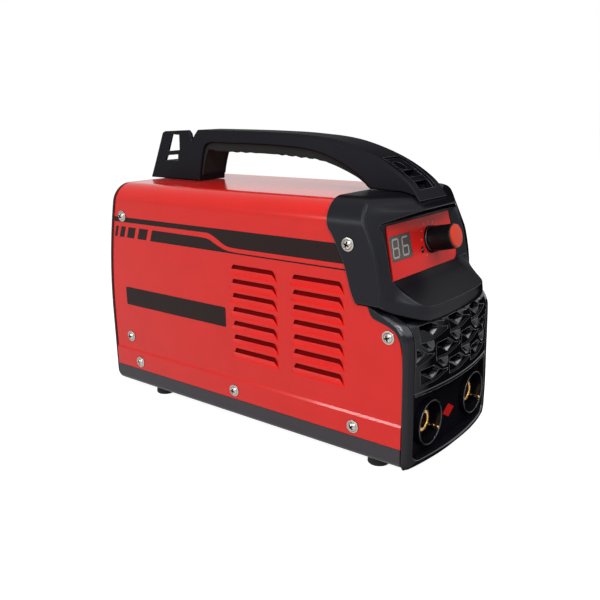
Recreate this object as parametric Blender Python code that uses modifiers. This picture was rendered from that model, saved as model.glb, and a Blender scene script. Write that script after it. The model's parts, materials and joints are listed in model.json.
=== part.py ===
"""Stick welding inverter: a steel cover on a pan, moulded ends, a carry handle and the works inside.

Metres, +Z up. The front faces -Y and X is the width. Pieces are modelled from the cover's lower
front edge (y = 0) and the floor (z = 0); the machine empty then centres the length on the origin.
"""
import math

import bmesh
import bpy
from mathutils import Matrix, Vector

# Case
GAP = 0.0003
CENTRE_Y = 0.1252
HALF_WIDTH = 0.056
SHEET = 0.001
COVER_BOTTOM = 0.0188
COVER_TOP = 0.1632
COVER_RADIUS = 0.013
COVER_FRONT = -0.0015
COVER_REAR = 0.2600
REAR_ARC_START = 0.062
REAR_ARC_RADIUS = 0.340
REAR_CORNER = 0.008
STRIP_STEP = 0.0008
STRIP_TOP = 0.0346
STRIP_SLOPE = 0.002
PAN_BOTTOM = 0.006
PAN_FLOOR = 0.0082
PAN_RADIUS = 0.004
UPSTAND_TOP = 0.031
UPSTAND_THICK = 0.002
POST_X = 0.044
POST_Y = (0.030, 0.198)
POST_RADIUS = 0.004
FOOT_X = 0.0455
FOOT_Y = {"front": 0.020, "rear": 0.218}
FOOT_STEM = 0.0025
CUT_REACH = 0.08

# Louvres: two columns of seven on each side
LOUVRE_COLUMNS = (0.0419, 0.0942)
LOUVRE_LENGTH = 0.0353
LOUVRE_ROWS = 7
LOUVRE_TOP = 0.1154
LOUVRE_PITCH = 0.00976
LOUVRE_REACH = 0.0026
LOUVRE_WALL = 0.0008

# Cover screws as (y, z), with how far the surface under each head stands beyond the cover
SCREWS = {
    "rear_low": (0.2322, 0.0251, STRIP_STEP),
    "mid_low": (0.1320, 0.0251, STRIP_STEP),
    "front_low": (0.0322, 0.0251, STRIP_STEP),
    "rear_mid": (0.2419, 0.0446, 0.0),
    "rear_top": (0.2419, 0.1392, 0.0),
    "front_mid": (0.0080, 0.0869, 0.0),
    "hood": (0.0348, 0.1390, 0.002),
}
SCREW_HEAD = 0.0042
SCREW_RISE = 0.0024
SCREW_SHANK = 0.0017
SCREW_LENGTH = 0.008
SCREW_HOLE = 0.0021

# Front bezel: side ridge and rear edge as (height, depth), and the bow of the front
BEZEL_HALF = 0.0565
BEZEL_RIDGE = [(0.0038, -0.0036), (0.0052, -0.0042), (0.0080, -0.0046), (0.0280, -0.0050), (0.0500, -0.0047),
               (0.0800, -0.0043), (0.0875, -0.0034), (0.0920, -0.0011), (0.0946, 0.0015), (0.0974, 0.0072),
               (0.1007, 0.0140), (0.1030, 0.0187)]
BEZEL_REAR = [(0.0038, -0.0015), (0.0752, -0.0015), (0.0839, 0.0000), (0.0905, 0.0034), (0.0941, 0.0101),
              (0.0968, 0.0190), (0.1030, 0.0222)]
BEZEL_NARROWING = [(0.0038, 0.935), (0.0052, 0.968), (0.0080, 0.992), (0.0120, 1.0), (0.1030, 1.0)]
BEZEL_CORNER = [(0.0550, 0.0006), (0.0562, 0.0013), (BEZEL_HALF, 0.0022)]
BEZEL_LEAST = 0.0002
SHOULDER_HEIGHTS = {0.0186, 0.0925, 0.0955}
FRONT_BOW = 0.0063
RIM_HALF = 0.053
WINDOW_HALF = 0.0485
WINDOW_BOTTOM = 0.0085
WINDOW_RADIUS = 0.006
SPIGOT_INNER = 0.0495
SPIGOT_OUTER = 0.0532

# Grille cells between the lower lip and the hood
GRILLE_HALF = 0.0482
GRILLE_BOTTOM = 0.0474
GRILLE_TOP = 0.0926
GRILLE_SET_BACK = 0.0014
GRILLE_THICK = 0.008
GRILLE_LIP = 0.0010
GRILLE_LIP_TOP = 0.0490
CELL_PITCH = 0.0335
CELL_ROW = 0.0146
CELL_ROWS = 3
CELL_FIRST = 0.0565
CELL_DEPTH = 0.0056
CELL_MARGIN = 0.002
CELL_MOUTH = [(-0.0142, 0.0020), (-0.0075, 0.0058), (0.0075, 0.0058), (0.0142, 0.0020), (0.0050, -0.0058),
              (-0.0050, -0.0058)]
CELL_BACK = [(-0.0058, 0.0046), (0.0058, 0.0046)]

# Output sockets
SOCKET_X = 0.0296
SOCKET_Y = -0.0074
SOCKET_Z = 0.0281
SOCKET_RADIUS = 0.0145
SOCKET_NECK = 0.0120
SOCKET_END = 0.0235
WELL_DEPTH = 0.0096
CONTACT_RADIUS = 0.0070
CONTACT_BORE = 0.0045
CONTACT_FRONT = 0.0070
CONTACT_END = 0.0310
KEY_ANGLE = math.radians(22)
KEY_PLACE = (0.0108, 0.0090, 0.0)
KEY_SIZE = (0.0050, 0.0030, 0.0012)
STRAP_HALF = 0.007
STRAP_THICK = 0.0016
STRAP_BOTTOM = 0.019
SOCKET_PANEL_HALF = 0.0492
SOCKET_PANEL_Y = 0.004
SOCKET_PANEL_THICK = 0.0025

# Control hood: its sloping panel in a raised border, the brow above and the visor lip below
HOOD_HALF = 0.058
HOOD_TOP = 0.1652
HOOD_RADIUS = 0.016
HOOD_WALL = 0.0026
PANEL_TILT = math.radians(12.2)
PANEL_Y = 0.0149
PANEL_Z = 0.1161
PANEL_ROWS = (0.1152, 0.1226, 0.1340, 0.1420, 0.1486)
BORDER_ACROSS = [(0.0420, 0.0), (0.0460, 0.85), (0.0500, 1.0), (0.0540, 0.95), (0.0565, 0.62),
                 (0.0576, 0.25), (HOOD_HALF, 0.0)]
BORDER_UP = [(0.1047, 0.0), (0.1090, 0.0050), (0.1135, 0.0058), (0.1226, 0.0054), (0.1340, 0.0037),
             (0.1420, 0.0020), (0.1486, 0.0003)]
PLAIN_COLUMNS = [0.010, 0.020, 0.030, 0.038]
LIP_SWEEP = 2.5
BROW_SWEEP = 3.5
CHEEK_RISE = 4
HOOD_REAR = [(0.104, 0.0298), (0.1116, 0.0333), (0.122, 0.0362), (0.1312, 0.0397), (0.1431, 0.0461),
             (0.150, 0.0500), (0.166, 0.0505)]
DISPLAY = (-0.0375, 0.0100, -0.0130, 0.0258)
LED_PLACE = (-0.0005, 0.0125)
LED_RADIUS = 0.0015
DIAL_PLACE = (0.0100, 0.0175)
DIAL_HOLE = 0.0036
LABEL_BOTTOM_HALF = 0.0412
LABEL_TOP_HALF = 0.0387
LABEL_HEIGHT = 0.0325
LABEL_CORNER = 0.006
LABEL_FACE = 0.0008
PANEL_PARTS_BACK = -0.009
KNOB_FOOT = 0.0030
KNOB_TOP = 0.0182
KNOB_RADIUS = 0.0082
KNOB_FLUTES = 12
SHAFT_RADIUS = 0.003
SHAFT_SEAT = 0.0133

# Handle profile in the side view as (y, z)
HANDLE_HALF = 0.014
HANDLE_FLARE = 0.0030
FLARE_START = 0.045
FLARE_RUN = 0.034
EDGE_RADIUS = 0.0012
TOE_RADIUS = 0.0002
TOP_RADIUS = [(0.0113, TOE_RADIUS), (0.0205, 0.0012), (0.045, 0.0045), (0.110, 0.0045),
              (0.160, 0.0024), (0.210, 0.0024)]
HANDLE_TOP = [(0.2011, 0.2010), (0.1675, 0.2006), (0.1350, 0.1999), (0.1040, 0.1985), (0.0718, 0.1948),
              (0.0419, 0.1850), (0.0205, 0.1722), (0.0113, 0.1608)]
HANDLE_UNDER = [(0.0475, 0.1658), (0.0603, 0.1756), (0.0877, 0.1868), (0.1215, 0.1906), (0.1750, 0.1916),
                (0.1882, 0.1914), (0.1949, 0.1864), (0.2009, 0.1636)]
HANDLE_TOE = [(0.0118, 0.1597), (0.0151, 0.1638), (0.0236, 0.1658)]
HANDLE_HOOK = [(0.2545, 0.1642), (0.2479, 0.1791), (0.2390, 0.1982), (0.2359, 0.1999), (0.2097, 0.2008),
               (0.2077, 0.1986), (0.2067, 0.1932), (0.2036, 0.1975)]
HOOK_PLATE = 0.0022
HOOK_DECK = 0.1771
HOOK_FRONT = 0.2067
HOOK_WINDOWS = [[(0.2203, 0.1860), (0.2198, 0.1972), (0.2280, 0.1976), (0.2335, 0.1850)],
                [(0.2228, 0.1779), (0.2222, 0.1826), (0.2350, 0.1817), (0.2372, 0.1779)]]
SLOPE_CENTRE = (0, 0.0330, 0.1790)
SLOPE_ANGLE = math.radians(35)
SLOPE_POCKETS = [(0.0095, -0.0130, 0.0130, 0.0016), (0.0040, -0.0098, -0.0062, 0.0050),
                 (0.0040, -0.0040, -0.0004, 0.0050)]
GRIP_DEPTH = 0.0068
GRIP_HALF = 0.0118
GRIP_FOOT = 0.1725
GRIP_END = 0.1880
GRIP_STEP = 0.0028
GRIP_RIB_PITCH = 0.0085
GRIP_RIB_HEIGHT = 0.0007
GRIP_EDGE = 0.0018

# Rear panel and what it carries
REAR_PLATE = 0.240
REAR_PLATE_THICK = 0.003
REAR_FACE = REAR_PLATE + REAR_PLATE_THICK
REAR_FRAME_HALF = 0.0532
REAR_FRAME_WALL = 0.0025
REAR_FRAME_RADIUS = 0.0105
REAR_FLANGE = 0.0014
BOSS_INNER = 0.046
BOSS_HALF = 0.005
FAN_Z = 0.092
FAN_SIZE = 0.080
FAN_DEPTH = 0.025
FAN_HOLE = 0.038
FAN_MOUNT = 0.015
FAN_ARM = 0.002
HUB_RADIUS = 0.016
HUB_DEPTH = 0.018
BLADES = 7
BLADE_SIZE = (0.0215, 0.0145, 0.0016)
BLADE_PITCH = math.radians(50)
GUARD_RINGS = (0.0165, 0.0240, 0.0315, 0.0390)
GUARD_WIRE = 0.0009
GUARD_PLATE = 0.009
GUARD_SPAN = 0.086
SWITCH_X = -0.030
SWITCH_HALF = (0.0140, 0.0108)
SWITCH_DEPTH = 0.022
COLLAR_HALF = (0.0158, 0.0126)
COLLAR_RISE = 0.0024
WELL_HALF = (0.0122, 0.0094)
ROCKER_HALF = 0.0118
ROCKER_REST = math.radians(-8)
GLAND_X = 0.030
GLAND_THREAD = 0.008
GLAND_BORE = 0.0045
NUT_RADIUS = 0.0125
REAR_ROW_Z = 0.032
EARTH_Z = 0.024

# Works inside
BOARD_HEIGHT = 0.0583
BOARD_THICK = 0.0016
BOARD_HALF = 0.048
BOARD_ENDS = (0.022, 0.205)
STAND = BOARD_HEIGHT + BOARD_THICK + GAP
FINS = 7
FIN_PITCH = 0.009
FIN_THICK = 0.002
FIN_TIP = 0.024
SINK_WEB = 0.042
SINK_OUTER = 0.046
SINK_ENDS = (0.060, 0.190)

for old in list(bpy.data.objects):
    bpy.data.objects.remove(old)

PARTS = bpy.data.collections.new("stick_welding_inverter")
CUTTERS = bpy.data.collections.new("cutters")
for group in (PARTS, CUTTERS):
    bpy.context.scene.collection.children.link(group)


def material(name, colour, roughness, metallic=0.0):
    paint = bpy.data.materials.new(name)
    paint.use_nodes = True
    shader = paint.node_tree.nodes["Principled BSDF"]
    shader.inputs["Base Color"].default_value = (*colour, 1)
    shader.inputs["Roughness"].default_value = roughness
    shader.inputs["Metallic"].default_value = metallic
    return paint


RED_PAINT = material("red_paint", (0.62, 0.02, 0.015), 0.25)
BLACK_PLASTIC = material("black_plastic", (0.022, 0.022, 0.024), 0.42)
GLOSS_BLACK = material("gloss_black", (0.012, 0.012, 0.014), 0.18)
PAN_BLACK = material("pan_black", (0.035, 0.034, 0.038), 0.5)
RUBBER = material("rubber", (0.02, 0.02, 0.02), 0.8)
STEEL = material("plated_steel", (0.75, 0.74, 0.72), 0.2, 1.0)
BRASS = material("brass", (0.78, 0.56, 0.22), 0.25, 1.0)
COPPER = material("copper", (0.75, 0.36, 0.2), 0.3, 1.0)
ALUMINIUM = material("aluminium", (0.7, 0.7, 0.72), 0.4, 1.0)
LABEL_RED = material("label_red", (0.6, 0.015, 0.012), 0.35)
DISPLAY_GREY = material("display_grey", (0.24, 0.22, 0.21), 0.15)
CAP_ORANGE = material("cap_orange", (0.75, 0.08, 0.03), 0.4)
CIRCUIT_GREEN = material("circuit_green", (0.02, 0.14, 0.05), 0.5)
FERRITE = material("ferrite", (0.05, 0.05, 0.055), 0.6)
TAPE_YELLOW = material("tape_yellow", (0.7, 0.5, 0.08), 0.5)
SLEEVE_BLUE = material("sleeve_blue", (0.02, 0.04, 0.16), 0.4)


def empty(name, place, parent=None, tilt=0.0):
    axis = bpy.data.objects.new(name, None)
    axis.location = place
    axis.rotation_euler = (tilt, 0, 0)
    axis.parent = parent
    PARTS.objects.link(axis)
    return axis


MACHINE = empty("machine", (0, -CENTRE_Y, 0))
PANEL = empty("panel_frame", (0, PANEL_Y, PANEL_Z), MACHINE, math.pi / 2 - PANEL_TILT)
DIAL = empty("dial_axis", (*DIAL_PLACE, 0), PANEL)
FAN = empty("fan_axis", (0, REAR_PLATE - FAN_DEPTH / 2 - GAP, FAN_Z), MACHINE)
ROCKER = empty("rocker_axis", (SWITCH_X, REAR_FACE, REAR_ROW_Z), MACHINE, ROCKER_REST)


def make(name, bm, paint=None, parent=MACHINE):
    """Turn a bmesh into an object: a part if it has a material, and otherwise a cutter."""
    bmesh.ops.recalc_face_normals(bm, faces=bm.faces)
    mesh = bpy.data.meshes.new(name)
    bm.to_mesh(mesh)
    bm.free()
    obj = bpy.data.objects.new(name, mesh)
    obj.parent = parent
    if paint:
        PARTS.objects.link(obj)
        mesh.materials.append(paint)
        mesh.shade_smooth()
        mesh.set_sharp_from_angle(angle=math.radians(35))
    else:
        CUTTERS.objects.link(obj)
        obj.display_type = "WIRE"
        obj.hide_render = True
    return obj


def boolean(obj, tool, operation="DIFFERENCE"):
    modifier = obj.modifiers.new(f"{operation.lower()} {tool.name}", "BOOLEAN")
    modifier.operation = operation
    modifier.object = tool


TURNS = {"X": Matrix.Rotation(math.pi / 2, 4, "Y"), "Y": Matrix.Rotation(-math.pi / 2, 4, "X"),
         "Z": Matrix.Identity(4)}


def block(bm, place, size):
    """A box of a size, centred on a place."""
    bmesh.ops.create_cube(bm, size=1, matrix=place @ Matrix.Diagonal((*size, 1)))


def box(bm, low, high):
    """A box from its low corner to its high corner."""
    centre = [(a + b) / 2 for a, b in zip(low, high)]
    block(bm, Matrix.Translation(centre), [b - a for a, b in zip(low, high)])


def rod(bm, radius, start, length, axis="Z", segments=24):
    """A cylinder that runs from its start point along an axis."""
    matrix = Matrix.Translation(start) @ TURNS[axis] @ Matrix.Translation((0, 0, length / 2))
    bmesh.ops.create_cone(bm, cap_ends=True, segments=segments, radius1=radius, radius2=radius,
                          depth=length, matrix=matrix)


def prism(bm, outline, start, end, axis):
    """Extrude a flat outline along an axis; its pairs are the two other axes in order."""
    order = {"X": lambda a, b, t: (t, a, b), "Y": lambda a, b, t: (a, t, b),
             "Z": lambda a, b, t: (a, b, t)}[axis]
    face = bm.faces.new([bm.verts.new(order(a, b, start)) for a, b in outline])
    pulled = bmesh.ops.extrude_face_region(bm, geom=[face])["geom"]
    moved = [item for item in pulled if isinstance(item, bmesh.types.BMVert)]
    bmesh.ops.translate(bm, vec=order(0, 0, end - start), verts=moved)


def turned(profile, segments, axis="Z", place=(0, 0, 0), ring=False):
    """Spin a profile of (radius, height) pairs about an axis; a ring's profile closes on itself."""
    bm = bmesh.new()
    verts = [bm.verts.new((radius, 0, height)) for radius, height in profile]
    pairs = list(zip(verts, verts[1:])) + ([(verts[-1], verts[0])] if ring else [])
    edges = [bm.edges.new(pair) for pair in pairs]
    bmesh.ops.spin(bm, geom=verts + edges, axis=(0, 0, 1), cent=(0, 0, 0), angle=2 * math.pi,
                   steps=segments, use_merge=True)
    bmesh.ops.remove_doubles(bm, verts=bm.verts, dist=1e-6)
    bmesh.ops.transform(bm, matrix=Matrix.Translation(place) @ TURNS[axis], verts=bm.verts)
    return bm


def slab(bm, near, far):
    """Close the space between two grids of points with the same rows and columns."""
    grids = [[[bm.verts.new(point) for point in row] for row in grid] for grid in (near, far)]
    rows, columns = len(near), len(near[0])
    for grid in grids:
        for r in range(rows - 1):
            for c in range(columns - 1):
                bm.faces.new((grid[r][c], grid[r][c + 1], grid[r + 1][c + 1], grid[r + 1][c]))
    rim = [(0, c) for c in range(columns)] + [(r, columns - 1) for r in range(1, rows)]
    rim += [(rows - 1, c) for c in range(columns - 2, -1, -1)] + [(r, 0) for r in range(rows - 2, 0, -1)]
    for (r0, c0), (r1, c1) in zip(rim, rim[1:] + rim[:1]):
        bm.faces.new((grids[0][r0][c0], grids[0][r1][c1], grids[1][r1][c1], grids[1][r0][c0]))


def loft(bm, loops):
    """Join closed loops with the same number of points, and cap the first and the last."""
    rings = [[bm.verts.new(point) for point in loop] for loop in loops]
    for ring, after in zip(rings, rings[1:]):
        for i in range(len(ring)):
            bm.faces.new((ring[i - 1], ring[i], after[i], after[i - 1]))
    bm.faces.new(rings[0])
    bm.faces.new(rings[-1])


def hull(bm, points):
    """Wrap points in their convex hull."""
    verts = [bm.verts.new(point) for point in points]
    wrapped = bmesh.ops.convex_hull(bm, input=verts)
    spare = [item for item in wrapped["geom_interior"] if isinstance(item, bmesh.types.BMVert)]
    bmesh.ops.delete(bm, geom=spare, context="VERTS")


def between(pairs, t):
    """Straight-line reading of (t, value) pairs."""
    for (t0, v0), (t1, v1) in zip(pairs, pairs[1:]):
        if t <= t1:
            return v0 + (v1 - v0) * max(0.0, t - t0) / (t1 - t0)
    return pairs[-1][1]


def spline(points, steps):
    """A smooth curve through points, with a number of steps between each pair."""
    ends = [points[0]] + list(points) + [points[-1]]
    curve = []
    for a, b, c, d in zip(ends, ends[1:], ends[2:], ends[3:]):
        for i in range(steps):
            t = i / steps
            weights = (-t + 2 * t**2 - t**3, 2 - 5 * t**2 + 3 * t**3, t + 4 * t**2 - 3 * t**3, t**3 - t**2)
            curve.append(tuple(sum(w * p[k] for w, p in zip(weights, (a, b, c, d))) / 2 for k in (0, 1)))
    return curve + [tuple(points[-1])]


def arc(centre, radius, start, end, steps=4):
    """Points on an arc, with its angles in quarter turns."""
    angles = [(start + (end - start) * i / steps) * math.pi / 2 for i in range(steps + 1)]
    return [(centre[0] + radius * math.cos(a), centre[1] + radius * math.sin(a)) for a in angles]


def arch(half, top, radius, bottom):
    """An upside-down U from its lower left end to its lower right end."""
    left = arc((radius - half, top - radius), radius, 2, 1)
    right = arc((half - radius, top - radius), radius, 1, 0)
    return [(-half, bottom)] + left + right + [(half, bottom)]


def rear_edge(z):
    """Depth of the cover's rear edge, which leans forward in an arc above the middle."""
    return COVER_REAR - max(0.0, z - REAR_ARC_START) ** 2 / (2 * REAR_ARC_RADIUS)


def rear_line(offset, top=0.175):
    """The rear edge in the side view, moved back by an offset."""
    heights = [REAR_ARC_START + (top - REAR_ARC_START) * i / 6 for i in range(7)]
    return [(COVER_REAR + offset, 0.0)] + [(rear_edge(z) + offset, z) for z in heights]


def side_cut(name, outline):
    """A cutter that runs right across the machine, from its outline in the side view."""
    bm = bmesh.new()
    prism(bm, outline, -CUT_REACH, CUT_REACH, "X")
    return make(name, bm)


def screw_holes():
    bm = bmesh.new()
    for y, z, _ in SCREWS.values():
        for x in (-HALF_WIDTH - 0.006, HALF_WIDTH - 0.012):
            rod(bm, SCREW_HOLE, (x, y, z), 0.018, "X", 8)
    return make("screw_holes", bm)


def rear_corner_cut():
    """What is rounded off the lower rear corner of the pan and the rear flange."""
    rear = COVER_REAR + GAP + REAR_FLANGE
    bend = arc((rear - REAR_CORNER, PAN_BOTTOM + REAR_CORNER), REAR_CORNER, 4, 3)
    beyond = rear + 0.01
    return side_cut("rear_corner", bend + [(bend[-1][0], 0), (beyond, 0), (beyond, bend[0][1])])


HOLES = screw_holes()
CORNER = rear_corner_cut()


def cover_path(inset):
    """The cover's section: the stepped lower strips, the sides and the round top corners."""
    half = HALF_WIDTH - inset
    strip = half + STRIP_STEP
    upper = arch(half, COVER_TOP - inset, COVER_RADIUS - inset, STRIP_TOP)
    low = [(strip, STRIP_TOP - STRIP_SLOPE), (strip, COVER_BOTTOM)]
    return [(-x, z) for x, z in reversed(low)] + upper + low


def louvre_places():
    for row in range(LOUVRE_ROWS):
        for column in LOUVRE_COLUMNS:
            for side in (-1, 1):
                yield side, column, LOUVRE_TOP - row * LOUVRE_PITCH


def louvre_forms(name, outlines):
    """Pressed forms at every louvre: each outline is (reach, height below the slot, set-in of its ends)."""
    bm = bmesh.new()
    for side, start, top in louvre_places():
        hull(bm, [(side * (HALF_WIDTH + reach), y, top - below) for reach, below, inset in outlines
                  for y in (start + inset, start + LOUVRE_LENGTH - inset)])
    return make(name, bm)


def louvre_blades():
    return louvre_forms("louvre_blades", (
        (-SHEET / 2, 0.0084, 0.0), (-SHEET / 2, 0.0020, 0.0), (LOUVRE_REACH, 0.0020, 0.0036),
        (0.75 * LOUVRE_REACH, 0.0052, 0.0030)))


def louvre_slots():
    inner = LOUVRE_REACH - LOUVRE_WALL
    return louvre_forms("louvre_slots", (
        (-0.003, 0.0, 0.0014), (-0.003, 0.0074, 0.0014), (inner, 0.0, 0.0042), (inner, 0.0022, 0.0042),
        (0.75 * LOUVRE_REACH - LOUVRE_WALL, 0.0050, 0.0038)))


def cover_shell():
    bm = bmesh.new()
    prism(bm, cover_path(0) + cover_path(SHEET)[::-1], COVER_FRONT, COVER_REAR, "Y")
    cover = make("cover_shell", bm, RED_PAINT)
    front = [(depth + GAP, height) for height, depth in BEZEL_REAR[1:]]
    front += [(0.0230, 0.1042), (0.0270, 0.112), (0.0340, 0.147), (0.0380, 0.170), (-0.03, 0.170)]
    boolean(cover, side_cut("cover_front_cut", front + [(-0.03, BEZEL_REAR[1][0])]))
    rear = rear_line(0)[1:] + [(0.30, 0.175), (0.30, REAR_ARC_START)]
    boolean(cover, side_cut("cover_rear_cut", rear))
    boolean(cover, louvre_blades(), "UNION")
    boolean(cover, louvre_slots())
    boolean(cover, HOLES)


def base_pan():
    half = HALF_WIDTH + STRIP_STEP
    wall = half - SHEET - GAP
    inner = wall - UPSTAND_THICK
    side = [(half, COVER_BOTTOM - GAP), (wall, COVER_BOTTOM - GAP), (wall, UPSTAND_TOP),
            (inner, UPSTAND_TOP), (inner, PAN_FLOOR)]
    lower = arc((PAN_RADIUS - half, PAN_BOTTOM + PAN_RADIUS), PAN_RADIUS, 2, 3)
    lower += arc((half - PAN_RADIUS, PAN_BOTTOM + PAN_RADIUS), PAN_RADIUS, 3, 4)
    bm = bmesh.new()
    prism(bm, lower + side + [(-x, z) for x, z in reversed(side)], COVER_FRONT + GAP, COVER_REAR, "Y")
    pan = make("base_pan", bm, PAN_BLACK)
    boolean(pan, CORNER)
    posts = bmesh.new()
    root = PAN_FLOOR - 0.001
    for x in (-POST_X, POST_X):
        for y in POST_Y:
            rod(posts, POST_RADIUS, (x, y, root), BOARD_HEIGHT - GAP - root, "Z", 12)
    boolean(pan, make("pan_posts", posts), "UNION")
    stems = bmesh.new()
    for x, y in foot_places().values():
        rod(stems, FOOT_STEM + GAP, (x, y, 0), 0.02, "Z", 12)
    boolean(pan, make("foot_holes", stems))
    boolean(pan, HOLES)


def foot_places():
    return {f"{end}_{side}": (x, y) for end, y in FOOT_Y.items()
            for side, x in (("left", -FOOT_X), ("right", FOOT_X))}


def feet():
    top = PAN_BOTTOM - GAP
    profile = [(0, 0.0095), (FOOT_STEM, 0.0095), (FOOT_STEM, top), (0.0062, top), (0.0072, 0.0008),
               (0.0066, 0), (0, 0)]
    for name, (x, y) in foot_places().items():
        make(f"foot_{name}", turned(profile, 20, "Z", (x, y, 0)), RUBBER)


def screw_mesh():
    """A pan-head screw with a cross recess, pointing up."""
    profile = [(0, SCREW_RISE), (0.0028, 0.0019), (SCREW_HEAD, 0.0), (SCREW_SHANK, 0.0),
               (SCREW_SHANK, -SCREW_LENGTH), (0, -SCREW_LENGTH)]
    arm, half = 0.0020, 0.0004
    quarter = [(arm, half), (half, half), (half, arm)]
    plus = [turn @ Vector(point) for turn in (Matrix.Rotation(math.pi / 2 * i, 2) for i in range(4))
            for point in quarter]
    cross = bmesh.new()
    prism(cross, plus, 0.0009, 0.0040, "Z")
    pattern = make("screw_pattern", turned(profile, 12), parent=None)
    boolean(pattern, make("cross_recess", cross, parent=None))
    bpy.context.view_layer.update()
    shaped = bpy.data.meshes.new_from_object(pattern.evaluated_get(bpy.context.evaluated_depsgraph_get()))
    shaped.materials.append(STEEL)
    return shaped


def cover_screws():
    shaped = screw_mesh()
    for side, sign in (("left", -1), ("right", 1)):
        for name, (y, z, stand) in SCREWS.items():
            screw = bpy.data.objects.new(f"screw_{name}_{side}", shaped)
            screw.location = (sign * (HALF_WIDTH + stand + GAP), y, z)
            screw.rotation_euler = (0, sign * math.pi / 2, 0)
            screw.parent = MACHINE
            PARTS.objects.link(screw)


def bow(x):
    """How far the front stands forward of its ends at a distance from the middle."""
    return FRONT_BOW * (1 - min(1.0, abs(x) / RIM_HALF) ** 2)


def bezel_columns():
    """Columns across the bezel as (x, set-back), with round outer corners."""
    inner = [RIM_HALF * i / 6 for i in range(-6, 7)]
    return [(-x, d) for x, d in reversed(BEZEL_CORNER)] + [(x, 0.0) for x in inner] + BEZEL_CORNER


def bezel_rim():
    """Front and rear grids of the bezel before its window is cut."""
    near, far = [], []
    for z in sorted({z for z, _ in BEZEL_RIDGE + BEZEL_REAR} | SHOULDER_HEIGHTS):
        ridge = between(BEZEL_RIDGE, z)
        rear = between(BEZEL_REAR, z) - GAP
        scale = between(BEZEL_NARROWING, z)
        near.append([(x * scale, min(ridge + set_back - bow(x), rear - BEZEL_LEAST), z)
                     for x, set_back in bezel_columns()])
        far.append([(x * scale, rear, z) for x, _ in bezel_columns()])
    return near, far


def front_bezel():
    bm = bmesh.new()
    slab(bm, *bezel_rim())
    bezel = make("front_bezel", bm, BLACK_PLASTIC)
    window = bmesh.new()
    corner_x, corner_z = WINDOW_HALF - WINDOW_RADIUS, WINDOW_BOTTOM + WINDOW_RADIUS
    outline = arc((-corner_x, corner_z), WINDOW_RADIUS, 2, 3)
    outline += arc((corner_x, corner_z), WINDOW_RADIUS, 3, 4)
    prism(window, outline + [(WINDOW_HALF, 0.12), (-WINDOW_HALF, 0.12)], -0.03, 0.04, "Y")
    boolean(bezel, make("bezel_window", window))
    spigots = bmesh.new()
    for sign in (-1, 1):
        ends = sorted((sign * SPIGOT_INNER, sign * SPIGOT_OUTER))
        box(spigots, (ends[0], -0.0030, 0.020), (ends[1], 0.014, 0.0925))
    boolean(bezel, make("bezel_spigots", spigots), "UNION")
    boolean(bezel, HOLES)


def grille_front(x, z):
    """Depth of the grille's face, which follows the bezel and leans back under the hood."""
    return between(BEZEL_RIDGE, z) - bow(x) + GRILLE_SET_BACK


def cell_places():
    for row in range(CELL_ROWS):
        shift = 0.5 if row % 2 == 0 else 0.0
        for column in range(-2, 2 + row % 2):
            x = (column + shift) * CELL_PITCH
            if abs(x) < GRILLE_HALF - 0.008:
                yield x, CELL_FIRST + row * CELL_ROW


def grille_cells():
    """Faceted pockets: a wide six-sided mouth whose floor slopes in and up to a short deep edge."""
    bm = bmesh.new()
    limit = GRILLE_HALF - CELL_MARGIN
    for x, z in cell_places():
        points = []
        for dx, dz in CELL_MOUTH:
            across = max(-limit, min(limit, x + dx))
            face = grille_front(across, z + dz)
            points += [(across, face - 0.006, z + dz), (across, face + 0.0002, z + dz)]
        points += [(x + dx, grille_front(x + dx, z) + CELL_DEPTH, z + dz) for dx, dz in CELL_BACK]
        hull(bm, points)
    return make("grille_cells", bm)


def front_grille():
    heights = [GRILLE_BOTTOM, GRILLE_LIP_TOP, 0.0500, 0.0800, 0.0875, 0.0915, GRILLE_TOP]
    columns = [GRILLE_HALF * i / 8 for i in range(-8, 9)]
    near = [[(x, grille_front(x, z) - (GRILLE_LIP if z <= GRILLE_LIP_TOP else 0), z) for x in columns]
            for z in heights]
    far = [[(x, grille_front(x, z) + GRILLE_THICK, z) for x in columns] for z in heights]
    bm = bmesh.new()
    slab(bm, near, far)
    grille = make("front_grille", bm, GLOSS_BLACK)
    boolean(grille, grille_cells())


def socket_panel():
    bm = bmesh.new()
    box(bm, (-SOCKET_PANEL_HALF, SOCKET_PANEL_Y, PAN_FLOOR + GAP),
        (SOCKET_PANEL_HALF, SOCKET_PANEL_Y + SOCKET_PANEL_THICK, GRILLE_BOTTOM - 0.001))
    panel = make("socket_panel", bm, BLACK_PLASTIC)
    bores = bmesh.new()
    for x in (-SOCKET_X, SOCKET_X):
        rod(bores, SOCKET_NECK + GAP, (x, 0, SOCKET_Z), 0.02, "Y")
    boolean(panel, make("socket_bores", bores))


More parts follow.
